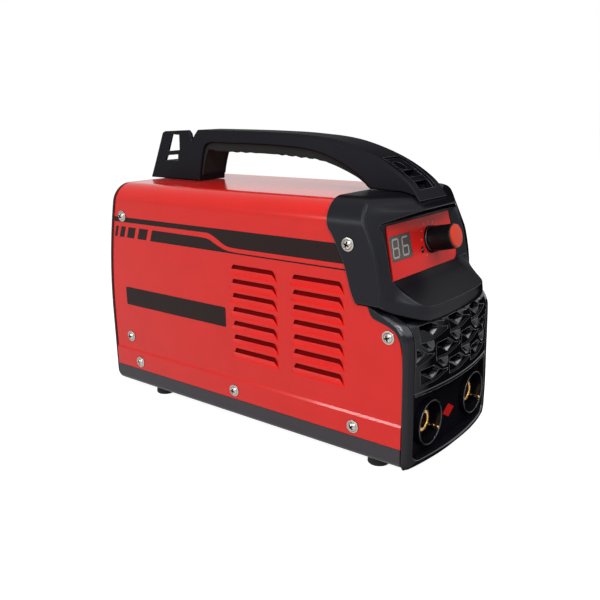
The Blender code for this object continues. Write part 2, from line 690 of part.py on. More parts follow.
def sockets():
    """Insulating cups with a brass contact in each, and the straps that feed them."""
    back = SOCKET_PANEL_Y - SOCKET_Y - GAP
    seat = CONTACT_RADIUS + 0.0005
    cup = [(SOCKET_RADIUS - 0.0006, 0), (SOCKET_RADIUS, 0.0006), (SOCKET_RADIUS, back), (SOCKET_NECK, back),
           (SOCKET_NECK, SOCKET_END), (seat, SOCKET_END), (seat, WELL_DEPTH), (0.0130, WELL_DEPTH),
           (0.0136, 0)]
    contact = [(CONTACT_BORE, CONTACT_FRONT), (0.0065, CONTACT_FRONT),
               (CONTACT_RADIUS, CONTACT_FRONT + 0.0006), (CONTACT_RADIUS, CONTACT_END),
               (CONTACT_BORE, CONTACT_END)]
    for side, x in (("left", -SOCKET_X), ("right", SOCKET_X)):
        place = (x, SOCKET_Y, SOCKET_Z)
        body = make(f"socket_{side}", turned(cup, 28, "Y", place, ring=True), BLACK_PLASTIC)
        key = bmesh.new()
        turn = Matrix.Translation(place) @ Matrix.Rotation(KEY_ANGLE, 4, "Y")
        block(key, turn @ Matrix.Translation(KEY_PLACE), KEY_SIZE)
        boolean(body, make(f"socket_key_{side}", key), "UNION")
        make(f"contact_{side}", turned(contact, 20, "Y", place, ring=True), BRASS)
        strap = bmesh.new()
        start = SOCKET_Y + CONTACT_END + GAP
        box(strap, (x - STRAP_HALF, start, STRAP_BOTTOM),
            (x + STRAP_HALF, start + STRAP_THICK, BOARD_HEIGHT - GAP))
        make(f"busbar_{side}", strap, COPPER)


def panel_depth(z):
    """Depth of the hood's sloping front panel at a height."""
    return PANEL_Y + (z - PANEL_Z) * math.tan(PANEL_TILT)


def hood_rows():
    """Rows of the hood's front, upwards: depth and height in the middle and at the cheek, and sweep."""
    lip = [(-0.0104, 0.0927, 0.0134, 0.1046), (-0.0112, 0.0945, 0.0134, 0.1054),
           (-0.0113, 0.0985, 0.0134, 0.1068), (-0.0103, 0.1012, 0.0135, 0.1082),
           (-0.0050, 0.1036, 0.0137, 0.1097), (0.0030, 0.1072, 0.0140, 0.1116),
           (0.0100, 0.1115, 0.0143, 0.1135)]
    flat = [(panel_depth(z), z, panel_depth(z) + 0.0004, z) for z in PANEL_ROWS]
    brow = [(0.0205, 0.1512, 0.0250, 0.1512), (0.0139, 0.1546, 0.0262, 0.1546),
            (0.0128, 0.1580, 0.0300, 0.1580), (0.0160, 0.1630, 0.0400, 0.1630),
            (0.0240, HOOD_TOP, 0.0450, HOOD_TOP)]
    return [(*row, LIP_SWEEP) for row in lip + flat] + [(*row, BROW_SWEEP) for row in brow]


def hood_front(row, x, half, border):
    """A point of the hood's front: rows sweep back to the cheeks, and a border stands round the panel."""
    middle_y, middle_z, edge_y, edge_z, sweep = row
    across = abs(x) / half
    y = middle_y + (edge_y - middle_y) * across ** sweep
    z = middle_z + (edge_z - middle_z) * across ** CHEEK_RISE
    if border and BORDER_UP[0][0] < z <= BORDER_UP[-1][0]:
        y = min(y, panel_depth(z) - between(BORDER_ACROSS, abs(x)) * between(BORDER_UP, z))
    return y, z


def hood_grid(half, inset=0.0, rear=None):
    """Front and rear grids of the hood, or of its hollow where there is an inset."""
    right = PLAIN_COLUMNS + [x * half / HOOD_HALF for x, _ in BORDER_ACROSS]
    near, far = [], []
    for row in hood_rows():
        front, back = [], []
        for x in [-x for x in reversed(right)] + [0.0] + right:
            y, z = hood_front(row, x, half, not inset)
            front.append((x, y + inset, z))
            back.append((x, rear or between(HOOD_REAR, z), z))
        near.append(front)
        far.append(back)
    return near, far


def hood_hollow():
    """The space inside the hood, open below and behind."""
    near, far = hood_grid(HALF_WIDTH + GAP, HOOD_WALL, 0.09)
    for grid in (near, far):
        grid.insert(0, [(x, y, z - 0.02) for x, y, z in grid[0]])
        grid.append([(x, y, z + 0.01) for x, y, z in grid[-1]])
    bm = bmesh.new()
    slab(bm, near, far)
    hollow = make("hood_hollow", bm)
    inner = bmesh.new()
    inner_top = COVER_TOP + GAP
    prism(inner, arch(HALF_WIDTH + GAP, inner_top, COVER_RADIUS + GAP, 0.05), -0.03, 0.10, "Y")
    boolean(hollow, make("hood_hollow_section", inner), "INTERSECT")
    return hollow


def panel_openings():
    """Holes through the sloping panel for the display, the lamp and the dial's shaft."""
    bm = bmesh.new()
    u0, v0, u1, v1 = DISPLAY
    box(bm, (u0 - GAP, v0 - GAP, -0.01), (u1 + GAP, v1 + GAP, 0.01))
    rod(bm, LED_RADIUS + GAP, (*LED_PLACE, -0.01), 0.02, "Z", 12)
    rod(bm, DIAL_HOLE, (*DIAL_PLACE, -0.01), 0.02, "Z", 16)
    return make("panel_openings", bm, parent=PANEL)


def control_hood(openings):
    bm = bmesh.new()
    slab(bm, *hood_grid(HOOD_HALF))
    hood = make("control_hood", bm, BLACK_PLASTIC)
    section = bmesh.new()
    prism(section, arch(HOOD_HALF, HOOD_TOP, HOOD_RADIUS, 0.05), -0.03, 0.10, "Y")
    boolean(hood, make("hood_section", section), "INTERSECT")
    boolean(hood, hood_hollow())
    boolean(hood, openings)
    boolean(hood, HOLES)


def control_panel(openings):
    """What sits on and behind the sloping panel, in the panel's own frame: across, up and out."""
    label = bmesh.new()
    outline = [(-LABEL_BOTTOM_HALF, 0.0)]
    outline += arc((LABEL_BOTTOM_HALF - LABEL_CORNER, LABEL_CORNER), LABEL_CORNER, 3, 4)
    outline += [(LABEL_TOP_HALF, LABEL_HEIGHT), (-LABEL_TOP_HALF, LABEL_HEIGHT)]
    prism(label, outline, GAP, LABEL_FACE, "Z")
    boolean(make("control_label", label, LABEL_RED, PANEL), openings)
    u0, v0, u1, v1 = DISPLAY
    display = bmesh.new()
    box(display, (u0, v0, PANEL_PARTS_BACK), (u1, v1, 0.0010))
    make("display_module", display, DISPLAY_GREY, PANEL)
    lamp = [(0, 0.0018), (0.0009, 0.0015), (LED_RADIUS, 0.0006), (LED_RADIUS, PANEL_PARTS_BACK),
            (0, PANEL_PARTS_BACK)]
    make("power_led", turned(lamp, 12, "Z", (*LED_PLACE, 0)), GLOSS_BLACK, PANEL)
    board = bmesh.new()
    board_front = PANEL_PARTS_BACK - GAP
    box(board, (-0.040, 0.002, board_front - BOARD_THICK), (0.040, 0.030, board_front))
    make("control_board", board, CIRCUIT_GREEN, PANEL)


def dial():
    """The current dial: a fluted knob with its cap on the shaft of a potentiometer."""
    washer = [(DIAL_HOLE, 0.0026), (0.0078, 0.0026), (0.0084, 0.0020), (0.0084, 0.0011), (DIAL_HOLE, 0.0011)]
    make("dial_washer", turned(washer, 24, ring=True), STEEL, DIAL)
    pot = bmesh.new()
    rod(pot, 0.008, (0, 0, PANEL_PARTS_BACK), 0.0061, "Z", 20)
    make("potentiometer", pot, ALUMINIUM, DIAL)
    shaft = bmesh.new()
    rod(shaft, SHAFT_RADIUS, (0, 0, -0.0026), SHAFT_SEAT - GAP + 0.0026, "Z", 16)
    make("pot_shaft", shaft, STEEL, DIAL)
    bore = SHAFT_RADIUS + GAP
    profile = [(0, KNOB_TOP), (0.0074, KNOB_TOP), (0.0078, KNOB_TOP - 0.0004), (KNOB_RADIUS, KNOB_FOOT),
               (bore, KNOB_FOOT), (bore, SHAFT_SEAT), (0, SHAFT_SEAT)]
    knob = make("knob", turned(profile, 24), BLACK_PLASTIC, DIAL)
    flutes = bmesh.new()
    reach = KNOB_RADIUS + 0.0006
    for i in range(KNOB_FLUTES):
        angle = 2 * math.pi * i / KNOB_FLUTES
        rod(flutes, 0.0011, (reach * math.cos(angle), reach * math.sin(angle), 0.0042), 0.02, "Z", 8)
    boolean(knob, make("knob_flutes", flutes, parent=DIAL))
    seat = KNOB_TOP + GAP
    cap = [(0, 0.0198), (0.0066, 0.0196), (0.0073, 0.0190), (0.0073, seat), (0, seat)]
    make("knob_cap", turned(cap, 24), CAP_ORANGE, DIAL)


def handle_width(y):
    """Half the handle's width, which flares where its front end meets the brow."""
    return HANDLE_HALF + HANDLE_FLARE * max(0.0, min(1.0, (FLARE_START - y) / FLARE_RUN))


def handle_underside():
    return spline(HANDLE_UNDER, 4)


def inward(outline):
    """Unit vectors that point into an outline drawn anticlockwise."""
    vectors = []
    for before, after in zip(outline[-1:] + outline[:-1], outline[1:] + outline[:1]):
        run = (Vector(after) - Vector(before)).normalized()
        vectors.append(Vector((-run.y, run.x)))
    return vectors


def handle_loops():
    """Side views of the handle from one flank to the other, with rounded edges."""
    top = spline(HANDLE_TOP, 3)
    outline = HANDLE_HOOK + top + HANDLE_TOE + handle_underside()
    radii = [EDGE_RADIUS] * len(HANDLE_HOOK) + [between(TOP_RADIUS, y) for y, _ in top]
    radii += [TOE_RADIUS] * len(HANDLE_TOE)
    radii += [EDGE_RADIUS] * (len(outline) - len(radii))
    flank = []
    for turn in (0, math.pi / 4, math.pi / 2):
        loop = []
        for (y, z), into, radius in zip(outline, inward(outline), radii):
            point = Vector((y, z)) + into * radius * (1 - math.sin(turn))
            loop.append((handle_width(y) - radius * (1 - math.cos(turn)), *point))
        flank.append(loop)
    return [[(-x, y, z) for x, y, z in loop] for loop in flank] + flank[::-1]


def handle_cuts():
    """The space beside the hook plate, the plate's windows, and the pockets on the front slope."""
    bm = bmesh.new()
    box(bm, (HOOK_PLATE - HANDLE_HALF, HOOK_FRONT, HOOK_DECK), (0.03, 0.27, 0.21))
    pockets = make("handle_pockets", bm)
    windows = bmesh.new()
    for outline in HOOK_WINDOWS:
        prism(windows, outline, -0.03, 0.03, "X")
    slope = Matrix.Translation(SLOPE_CENTRE) @ Matrix.Rotation(SLOPE_ANGLE, 4, "X")
    for half, low, high, depth in SLOPE_POCKETS:
        place = slope @ Matrix.Translation((0, (low + high) / 2, 0.01 - depth))
        block(windows, place, (2 * half, high - low, 0.02))
    return pockets, make("handle_windows", windows)


def handle_shell():
    bm = bmesh.new()
    loft(bm, handle_loops())
    shell = make("handle_shell", bm, BLACK_PLASTIC)
    for tool in handle_cuts():
        boolean(shell, tool)


def offsets(line, distance):
    """Move the inner points of a line sideways, towards the hand gap."""
    moved = []
    for before, point, after in zip(line, line[1:], line[2:]):
        run = (Vector(after) - Vector(before)).normalized()
        moved.append(Vector(point) + Vector((run.y, -run.x)) * distance(point))
    return moved


def spaced(line, step):
    """Points along a line of straight runs, at about equal steps."""
    points = []
    for start, end in zip(line, line[1:]):
        run = Vector(end) - Vector(start)
        count = max(1, round(run.length / step))
        points += [Vector(start) + run * i / count for i in range(count)]
    return points + [Vector(line[-1])]


def rib(point):
    """How far the grip's underside stands off the shell at a point along the handle."""
    return GRIP_DEPTH + GRIP_RIB_HEIGHT * math.sin(2 * math.pi * point[0] / GRIP_RIB_PITCH)


def handle_grip():
    """The ribbed insert under the handle, which follows the shell's lower edge."""
    line = [point for point in handle_underside() if point[0] < GRIP_END and point[1] > GRIP_FOOT]
    inside = offsets(line, lambda point: 1.5 * GAP)
    ribbed = [point for point in offsets(spaced(line, GRIP_STEP), rib)
              if inside[0].x - 0.002 < point.x < inside[-1].x + 0.002]
    bm = bmesh.new()
    prism(bm, inside + ribbed[::-1], -GRIP_HALF, GRIP_HALF, "X")
    grip = make("handle_grip", bm, RUBBER)
    rounded = grip.modifiers.new("rounded edges", "BEVEL")
    rounded.width = GRIP_EDGE
    rounded.segments = 1
    rounded.limit_method = "ANGLE"
    rounded.angle_limit = math.radians(80)


def flange_outline():
    """The rear flange's outline: the cover's arch with the pan's round lower corners."""
    half = HALF_WIDTH + STRIP_STEP
    lower = arc((half - PAN_RADIUS, PAN_BOTTOM + PAN_RADIUS), PAN_RADIUS, 4, 3)
    lower += arc((PAN_RADIUS - half, PAN_BOTTOM + PAN_RADIUS), PAN_RADIUS, 3, 2)
    return arch(half, COVER_TOP, COVER_RADIUS, 0.02)[1:-1] + lower


def rear_flange():
    bm = bmesh.new()
    prism(bm, flange_outline(), 0.235, 0.280, "Y")
    flange = make("rear_flange", bm)
    band = rear_line(GAP) + rear_line(GAP + REAR_FLANGE)[::-1]
    boolean(flange, side_cut("rear_flange_band", band), "INTERSECT")
    return flange


def rear_bosses():
    """Blocks inside the frame that take the cover's rear screws."""
    bm = bmesh.new()
    for sign in (-1, 1):
        for name in ("rear_mid", "rear_top"):
            y, z, _ = SCREWS[name]
            ends = sorted((sign * BOSS_INNER, sign * (HALF_WIDTH - SHEET - GAP)))
            box(bm, (ends[0], y - BOSS_HALF, z - BOSS_HALF), (ends[1], y + 0.004, z + BOSS_HALF))
    return make("rear_bosses", bm)


def rear_openings():
    """Holes for the fan, the switch, the cable gland and the earth screw."""
    bm = bmesh.new()
    start = REAR_PLATE - 0.01
    across, up = (half + GAP for half in SWITCH_HALF)
    rod(bm, FAN_HOLE, (0, start, FAN_Z), 0.03, "Y", 40)
    box(bm, (SWITCH_X - across, start, REAR_ROW_Z - up), (SWITCH_X + across, 0.26, REAR_ROW_Z + up))
    rod(bm, GLAND_THREAD + GAP, (GLAND_X, start, REAR_ROW_Z), 0.03, "Y", 24)
    rod(bm, 0.0023, (0, start, EARTH_Z), 0.03, "Y", 12)
    return make("rear_openings", bm)


def rear_panel():
    """A plate set into the rear of the case, in a frame whose flange covers the cover's rear edge."""
    top = COVER_TOP - SHEET - GAP
    bm = bmesh.new()
    prism(bm, arch(REAR_FRAME_HALF, top, REAR_FRAME_RADIUS, PAN_FLOOR + GAP), REAR_PLATE, 0.264, "Y")
    panel = make("rear_panel", bm, BLACK_PLASTIC)
    behind = rear_line(GAP + REAR_FLANGE) + [(0.30, 0.175), (0.30, 0.0)]
    boolean(panel, side_cut("rear_frame_trim", behind))
    boolean(panel, rear_flange(), "UNION")
    hollow = bmesh.new()
    inner = arch(REAR_FRAME_HALF - REAR_FRAME_WALL, top - REAR_FRAME_WALL,
                 REAR_FRAME_RADIUS - REAR_FRAME_WALL, PAN_FLOOR + GAP + REAR_FRAME_WALL)
    prism(hollow, inner, REAR_FACE, 0.290, "Y")
    boolean(panel, make("rear_hollow", hollow))
    boolean(panel, rear_bosses(), "UNION")
    boolean(panel, rear_openings())
    boolean(panel, CORNER)
    boolean(panel, HOLES)


def fan_frame():
    half, front = FAN_SIZE / 2, -FAN_DEPTH / 2
    bm = bmesh.new()
    box(bm, (-half, front, -half), (half, -front, half))
    frame = make("fan_frame", bm, GLOSS_BLACK, FAN)
    tunnel = bmesh.new()
    rod(tunnel, FAN_HOLE - 0.0005, (0, front - 0.01, 0), FAN_DEPTH + 0.02, "Y", 40)
    boolean(frame, make("fan_tunnel", tunnel, parent=FAN))
    mount = bmesh.new()
    rod(mount, FAN_MOUNT, (0, front, 0), 0.003, "Y", 20)
    boolean(frame, make("fan_motor_mount", mount, parent=FAN), "UNION")
    arms = bmesh.new()
    box(arms, (0.001 - half, front + 0.0004, -FAN_ARM), (half - 0.001, front + 0.0026, FAN_ARM))
    boolean(frame, make("fan_arms", arms, parent=FAN), "UNION")


def fan_rotor():
    front = -FAN_DEPTH / 2 + 0.0036
    hub = bmesh.new()
    rod(hub, HUB_RADIUS, (0, front, 0), HUB_DEPTH, "Y", 21)
    rotor = make("fan_rotor", hub, GLOSS_BLACK, FAN)
    blades = bmesh.new()
    for i in range(BLADES):
        spoke = Matrix.Rotation(2 * math.pi * i / BLADES, 4, "Y")
        place = spoke @ Matrix.Translation((0.0250, front + HUB_DEPTH / 2, 0))
        block(blades, place @ Matrix.Rotation(BLADE_PITCH, 4, "X"), BLADE_SIZE)
    boolean(rotor, make("fan_blades", blades, parent=FAN), "UNION")


def torus(bm, major, minor, place, segments=24, sides=4):
    """Add a ring about the Y direction to a bmesh."""
    angles = [2 * math.pi * i / sides for i in range(sides)]
    profile = [(major + minor * math.cos(a), minor * math.sin(a)) for a in angles]
    ring = turned(profile, segments, "Y", place, ring=True)
    mesh = bpy.data.meshes.new("ring")
    ring.to_mesh(mesh)
    ring.free()
    bm.from_mesh(mesh)
    bpy.data.meshes.remove(mesh)


def fan_guard():
    """A wire guard over the fan's opening: rings on two crossed wires round a small plate."""
    level = REAR_FACE + GUARD_WIRE + GAP
    bm = bmesh.new()
    rod(bm, GUARD_PLATE, (0, level - 0.0008, FAN_Z), 0.0016, "Y", 20)
    guard = make("fan_guard", bm, STEEL)
    for name, turn in (("guard_wire_rising", 45), ("guard_wire_falling", 135)):
        wire = bmesh.new()
        matrix = Matrix.Translation((0, level, FAN_Z)) @ Matrix.Rotation(math.radians(turn), 4, "Y")
        bmesh.ops.create_cone(wire, cap_ends=True, segments=6, radius1=GUARD_WIRE, radius2=GUARD_WIRE,
                              depth=GUARD_SPAN, matrix=matrix)
        boolean(guard, make(name, wire), "UNION")
    rings = bmesh.new()
    for radius in GUARD_RINGS:
        torus(rings, radius, GUARD_WIRE, (0, level, FAN_Z))
    boolean(guard, make("guard_rings", rings), "UNION")


def switch_block(half, start, end):
    """A block on the switch's centre line from one depth to another."""
    bm = bmesh.new()
    across, up = half
    box(bm, (SWITCH_X - across, start, REAR_ROW_Z - up), (SWITCH_X + across, end, REAR_ROW_Z + up))
    return bm


def power_switch():
    case = switch_block(SWITCH_HALF, REAR_FACE - SWITCH_DEPTH, REAR_FACE + 0.001)
    body = make("power_switch", case, GLOSS_BLACK)
    collar = switch_block(COLLAR_HALF, REAR_FACE + GAP, REAR_FACE + COLLAR_RISE)
    boolean(body, make("switch_collar", collar), "UNION")
    boolean(body, make("switch_well", switch_block(WELL_HALF, REAR_FACE - 0.011, REAR_FACE + 0.01)))
    rocker = bmesh.new()
    outline = [(-0.0050, -0.0060), (-0.0050, 0.0060), (0.0010, 0.0088), (0.0042, 0.0086), (0.0030, 0.0),
               (0.0042, -0.0086), (0.0010, -0.0088)]
    prism(rocker, outline, -ROCKER_HALF, ROCKER_HALF, "X")
    make("power_rocker", rocker, RED_PAINT, ROCKER)


def cable_entry():
    """The cord's gland with its nut, and the earth screw beside it."""
    face = REAR_FACE + GAP
    gland = [(GLAND_BORE, -0.012), (GLAND_THREAD, -0.012), (GLAND_THREAD, 0.0), (0.0115, 0.0),
             (0.0115, 0.005), (0.0095, 0.0058), (0.0095, 0.0125), (0.0070, 0.0165), (GLAND_BORE, 0.0165)]
    make("cable_gland", turned(gland, 18, "Y", (GLAND_X, face, REAR_ROW_Z), ring=True), BLACK_PLASTIC)
    hexagon = bmesh.new()
    rod(hexagon, NUT_RADIUS, (GLAND_X, face - 0.0078, REAR_ROW_Z), 0.0042, "Y", 6)
    nut = make("gland_nut", hexagon, BLACK_PLASTIC)
    thread = bmesh.new()
    rod(thread, GLAND_THREAD + 0.0004, (GLAND_X, face - 0.02, REAR_ROW_Z), 0.03, "Y", 18)
    boolean(nut, make("nut_thread", thread))
    earth = [(0, 0.0034), (0.0030, 0.0030), (0.0042, 0.0), (0.0020, 0.0), (0.0020, -0.010), (0, -0.010)]
    make("earth_screw", turned(earth, 14, "Y", (0, face, EARTH_Z)), STEEL)


def heatsink(side, sign):
    """A comb of fins along the board's edge."""
    comb = [(sign * SINK_OUTER, STAND), (sign * SINK_OUTER, STAND + FIN_PITCH * (FINS - 1) + FIN_THICK)]
    for fin in range(FINS - 1, -1, -1):
        low = STAND + fin * FIN_PITCH
        comb += [(sign * FIN_TIP, low + FIN_THICK), (sign * FIN_TIP, low)]
        if fin:
            comb += [(sign * SINK_WEB, low), (sign * SINK_WEB, low + FIN_THICK - FIN_PITCH)]
    bm = bmesh.new()
    prism(bm, comb, *SINK_ENDS, "Y")
    make(f"heatsink_{side}", bm, ALUMINIUM)


def transformer():
    """A ferrite core with two windows, and the taped winding on its middle leg."""
    core = bmesh.new()
    box(core, (-0.021, 0.085, STAND), (0.021, 0.105, STAND + 0.042))
    ferrite = make("transformer_core", core, FERRITE)
    windows = bmesh.new()
    for sign in (-1, 1):
        ends = sorted((sign * 0.006, sign * 0.015))
        box(windows, (ends[0], 0.08, STAND + 0.007), (ends[1], 0.11, STAND + 0.035))
    boolean(ferrite, make("core_windows", windows))
    coil = bmesh.new()
    box(coil, (-0.0146, 0.078, STAND + 0.0074), (0.0146, 0.112, STAND + 0.0346))
    winding = make("transformer_winding", coil, TAPE_YELLOW)
    leg = bmesh.new()
    box(leg, (-0.0064, 0.0845, STAND), (0.0064, 0.1055, STAND + 0.05))
    boolean(winding, make("winding_leg", leg))


def circuit_works():
    """The power board and the parts that stand on it."""
    bm = bmesh.new()
    box(bm, (-BOARD_HALF, BOARD_ENDS[0], BOARD_HEIGHT),
        (BOARD_HALF, BOARD_ENDS[1], BOARD_HEIGHT + BOARD_THICK))
    make("main_board", bm, CIRCUIT_GREEN)
    for side, sign in (("left", -1), ("right", 1)):
        heatsink(side, sign)
        can = bmesh.new()
        rod(can, 0.0125, (sign * 0.022, 0.046, STAND), 0.040, "Z", 20)
        make(f"capacitor_{side}", can, SLEEVE_BLUE)
    transformer()
    thick = 0.0075
    angles = [math.pi / 4 * i for i in range(8)]
    ring = [(0.015 + thick * math.cos(a), thick * math.sin(a)) for a in angles]
    make("output_choke", turned(ring, 20, "Z", (0, 0.150, STAND + thick), ring=True), COPPER)
    bridge = bmesh.new()
    box(bridge, (-0.014, 0.174, STAND), (0.014, 0.202, STAND + 0.012))
    make("bridge_rectifier", bridge, FERRITE)


def build():
    cover_shell()
    base_pan()
    feet()
    cover_screws()
    front_bezel()
    front_grille()
    socket_panel()
    sockets()
    openings = panel_openings()
    control_hood(openings)
    control_panel(openings)
    dial()
    handle_shell()
    handle_grip()
    rear_panel()
    fan_frame()
    fan_rotor()
    fan_guard()
    power_switch()
    cable_entry()
    circuit_works()


build()
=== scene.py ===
"""Looks of the stick welding inverter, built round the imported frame.

Places and sizes are in millimetres from the cover's lower front edge (y = 0) and the floor (z = 0).
They become metres where a vertex or a frame is made, and TO_FRAME shifts each piece back by CENTRE_Y to
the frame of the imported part. Lamps are placed in metres in that frame.
"""
import json
from math import ceil, cos, hypot, pi, radians, sin, sqrt, tan

import bmesh
import bpy
from mathutils import Matrix, Vector


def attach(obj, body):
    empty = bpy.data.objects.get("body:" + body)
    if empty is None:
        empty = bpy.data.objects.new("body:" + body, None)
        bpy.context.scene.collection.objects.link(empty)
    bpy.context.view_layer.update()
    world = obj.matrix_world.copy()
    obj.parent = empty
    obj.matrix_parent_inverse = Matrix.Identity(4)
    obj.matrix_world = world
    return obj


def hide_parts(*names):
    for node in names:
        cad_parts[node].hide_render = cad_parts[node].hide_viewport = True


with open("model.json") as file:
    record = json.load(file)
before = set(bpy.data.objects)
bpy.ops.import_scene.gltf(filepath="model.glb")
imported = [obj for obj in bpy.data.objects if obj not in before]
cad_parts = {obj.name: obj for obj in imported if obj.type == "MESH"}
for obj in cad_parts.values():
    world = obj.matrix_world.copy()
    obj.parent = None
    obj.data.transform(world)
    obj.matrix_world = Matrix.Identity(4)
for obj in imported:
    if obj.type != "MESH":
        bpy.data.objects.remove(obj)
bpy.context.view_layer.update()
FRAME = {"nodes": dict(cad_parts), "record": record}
SCENE = bpy.context.scene
SCENE.view_settings.view_transform = "Standard"
MM = 0.001


def shift(x, y, z=0):
    return Matrix.Translation((x * MM, y * MM, z * MM))


def spin(degrees, axis):
    return Matrix.Rotation(radians(degrees), 4, axis)


CENTRE_Y = 125.2
TO_FRAME = shift(0, -CENTRE_Y)
GAP = 0.3
SIDES = {"left": -1, "right": 1}

# Case
HALF_WIDTH = 56
SHEET = 1
COVER_BOTTOM = 18.8
COVER_TOP = 163.2
COVER_RADIUS = 13
COVER_REAR = 260
REAR_ARC_START = 62
REAR_ARC_RADIUS = 340
REAR_CORNER = 8
FLANGE = 1.4
CUT_TOP = 175
STRIP_STEP = 0.8
STRIP_TOP = 34.6
STRIP_SLOPE = 2
STRIP_HALF = HALF_WIDTH + STRIP_STEP
PAN_BOTTOM = 6
PAN_RADIUS = 4
PAN_WALL = 1.8
LOUVRE_COLUMNS = (41.9, 94.2)
LOUVRE_LENGTH = 35.3
LOUVRE_ROWS = 7
LOUVRE_TOP = 115.4
LOUVRE_PITCH = 9.76
LOUVRE_REACH = 2.6
LOUVRE_SPLAY = 3.4
LOUVRE_DROP = 8
LOUVRE_SLOT = 2.1
LOUVRE_CORNER = 0.6

# Bezel and hood
BEZEL_HALF = 56.5
BEZEL_LOW = 3.8
BEZEL_HIGH = 103
BEZEL_RIDGE = [(BEZEL_LOW, -3.6), (5.2, -4.2), (8, -4.6), (28, -5), (50, -4.7), (80, -4.3), (87.5, -3.4),
               (92, -1.1), (94.6, 1.5), (97.4, 7.2), (100.7, 14), (BEZEL_HIGH, 18.7)]
BEZEL_REAR = [(BEZEL_LOW, -1.5), (75.2, -1.5), (83.9, 0), (90.5, 3.4), (94.1, 10.1), (96.8, 19),
              (BEZEL_HIGH, 22.2)]
FRONT_BOW = 6.3
RIM_HALF = 53
WINDOW_HALF = 48.5
WINDOW_LOW = 8.5
WINDOW_RADIUS = 6
HOOD_HALF = 58
HOOD_TOP = 165.2
HOOD_RADIUS = 16
PANEL_TILT = radians(12.2)
PANEL_Y = 14.9
PANEL_Z = 116.1
PANEL_FRAME = shift(0, PANEL_Y, PANEL_Z) @ Matrix.Rotation(pi / 2 - PANEL_TILT, 4, "X")
DIAL_PLACE = (10, 17.5)
DIAL_FRAME = PANEL_FRAME @ shift(*DIAL_PLACE)


def node(tree, kind, **settings):
    made = tree.nodes.new(kind)
    for key, value in settings.items():
        if key in made.inputs:
            made.inputs[key].default_value = value
        else:
            setattr(made, key, value)
    return made


def spread(tree, source, low, high, from_low=0.3, from_high=0.7):
    """Map a value onto a range; the usual reach is that of a noise."""
    ranged = node(tree, "ShaderNodeMapRange")
    for place, value in ((1, from_low), (2, from_high), (3, low), (4, high)):
        ranged.inputs[place].default_value = value
    tree.links.new(source, ranged.inputs[0])
    return ranged.outputs[0]


def highest(tree, first, *others):
    for other in others:
        higher = node(tree, "ShaderNodeMath", operation="MAXIMUM")
        tree.links.new(first, higher.inputs[0])
        tree.links.new(other, higher.inputs[1])
        first = higher.outputs[0]
    return first


def new_paint(name, **values):
    """A material, its node tree and its shader, with values for the shader's inputs."""
    paint = bpy.data.materials.new(name)
    paint.use_nodes = True
    shader = paint.node_tree.nodes["Principled BSDF"]
    for key, value in values.items():
        shader.inputs[key].default_value = value
    return paint, paint.node_tree, shader


CLOUD_SCALE = 45.0
SHINE_BEND = (0.88, 0.985)


def finish(name, colour, roughness, metallic=0.0, coat=0.0, specular=0.5, grain=(1800, 0.04), cloud=0.06,
           rough_spread=0.05, edge=0.25, calm=None, shine=0.0, level=(0.0, 0.88, 0.96), painted_crevice_shade=0):
    """A finish with fine grain, soft clouds of tone and gloss, and edges that catch the light.

    A calm finish loses its gloss between two glancing angles, but keeps its shine on edges and some on level
    faces. Crevices can take painted shade, where ambient occlusion darkens the base colour.
    """
    paint, tree, shader = new_paint(name, **{"Metallic": metallic, "Specular IOR Level": specular,
                                             "Coat Weight": coat, "Coat Roughness": 0.06})
    link = tree.links.new
    place = node(tree, "ShaderNodeTexCoord").outputs["Object"]
    clouds = node(tree, "ShaderNodeTexNoise", Scale=CLOUD_SCALE, Detail=4.0)
    fine = node(tree, "ShaderNodeTexNoise", Scale=float(grain[0]), Detail=3.0)
    for noise in (clouds, fine):
        link(place, noise.inputs["Vector"])
    tone = node(tree, "ShaderNodeMix", data_type="RGBA")
    tone.inputs[6].default_value = (*[c * (1 - cloud) for c in colour], 1)
    tone.inputs[7].default_value = (*[min(1.0, c * (1 + cloud)) for c in colour], 1)
    link(spread(tree, clouds.outputs[0], 0.0, 1.0), tone.inputs[0])
    base = tone.outputs[2]
    # Painted shade: ambient occlusion darkens the base colour in crevices and hollows.
    if painted_crevice_shade:
        shade = node(tree, "ShaderNodeAmbientOcclusion", Distance=painted_crevice_shade * MM, samples=8)
        link(base, shade.inputs["Color"])
        base = shade.outputs["Color"]
    link(base, shader.inputs["Base Color"])
    gloss = spread(tree, fine.outputs[0], max(0.02, roughness - rough_spread), roughness + rough_spread)
    link(gloss, shader.inputs["Roughness"])
    bump = node(tree, "ShaderNodeBump", Strength=0.6, Distance=grain[1] * MM)
    link(fine.outputs[0], bump.inputs["Height"])
    bevel = node(tree, "ShaderNodeBevel", samples=6, Radius=edge * MM)
    link(bevel.outputs[0], bump.inputs["Normal"])
    link(bump.outputs[0], shader.inputs["Normal"])
    if calm:
        shader.inputs["Specular Tint"].default_value = (0.9, 0.92, 1, 1)
        facing = node(tree, "ShaderNodeLayerWeight", Blend=0.5).outputs["Facing"]
        surface = node(tree, "ShaderNodeNewGeometry").outputs
        bend = node(tree, "ShaderNodeVectorMath", operation="DOT_PRODUCT")
        link(bevel.outputs[0], bend.inputs[0])
        link(surface["True Normal"], bend.inputs[1])
        upward = node(tree, "ShaderNodeSeparateXYZ")
        link(surface["Normal"], upward.inputs[0])
        shown = highest(tree, spread(tree, facing, specular, 0.0, *calm),
                        spread(tree, bend.outputs["Value"], shine, 0.0, *SHINE_BEND),
                        spread(tree, upward.outputs["Z"], 0.0, *level))
        link(shown, shader.inputs["Specular IOR Level"])
    return paint


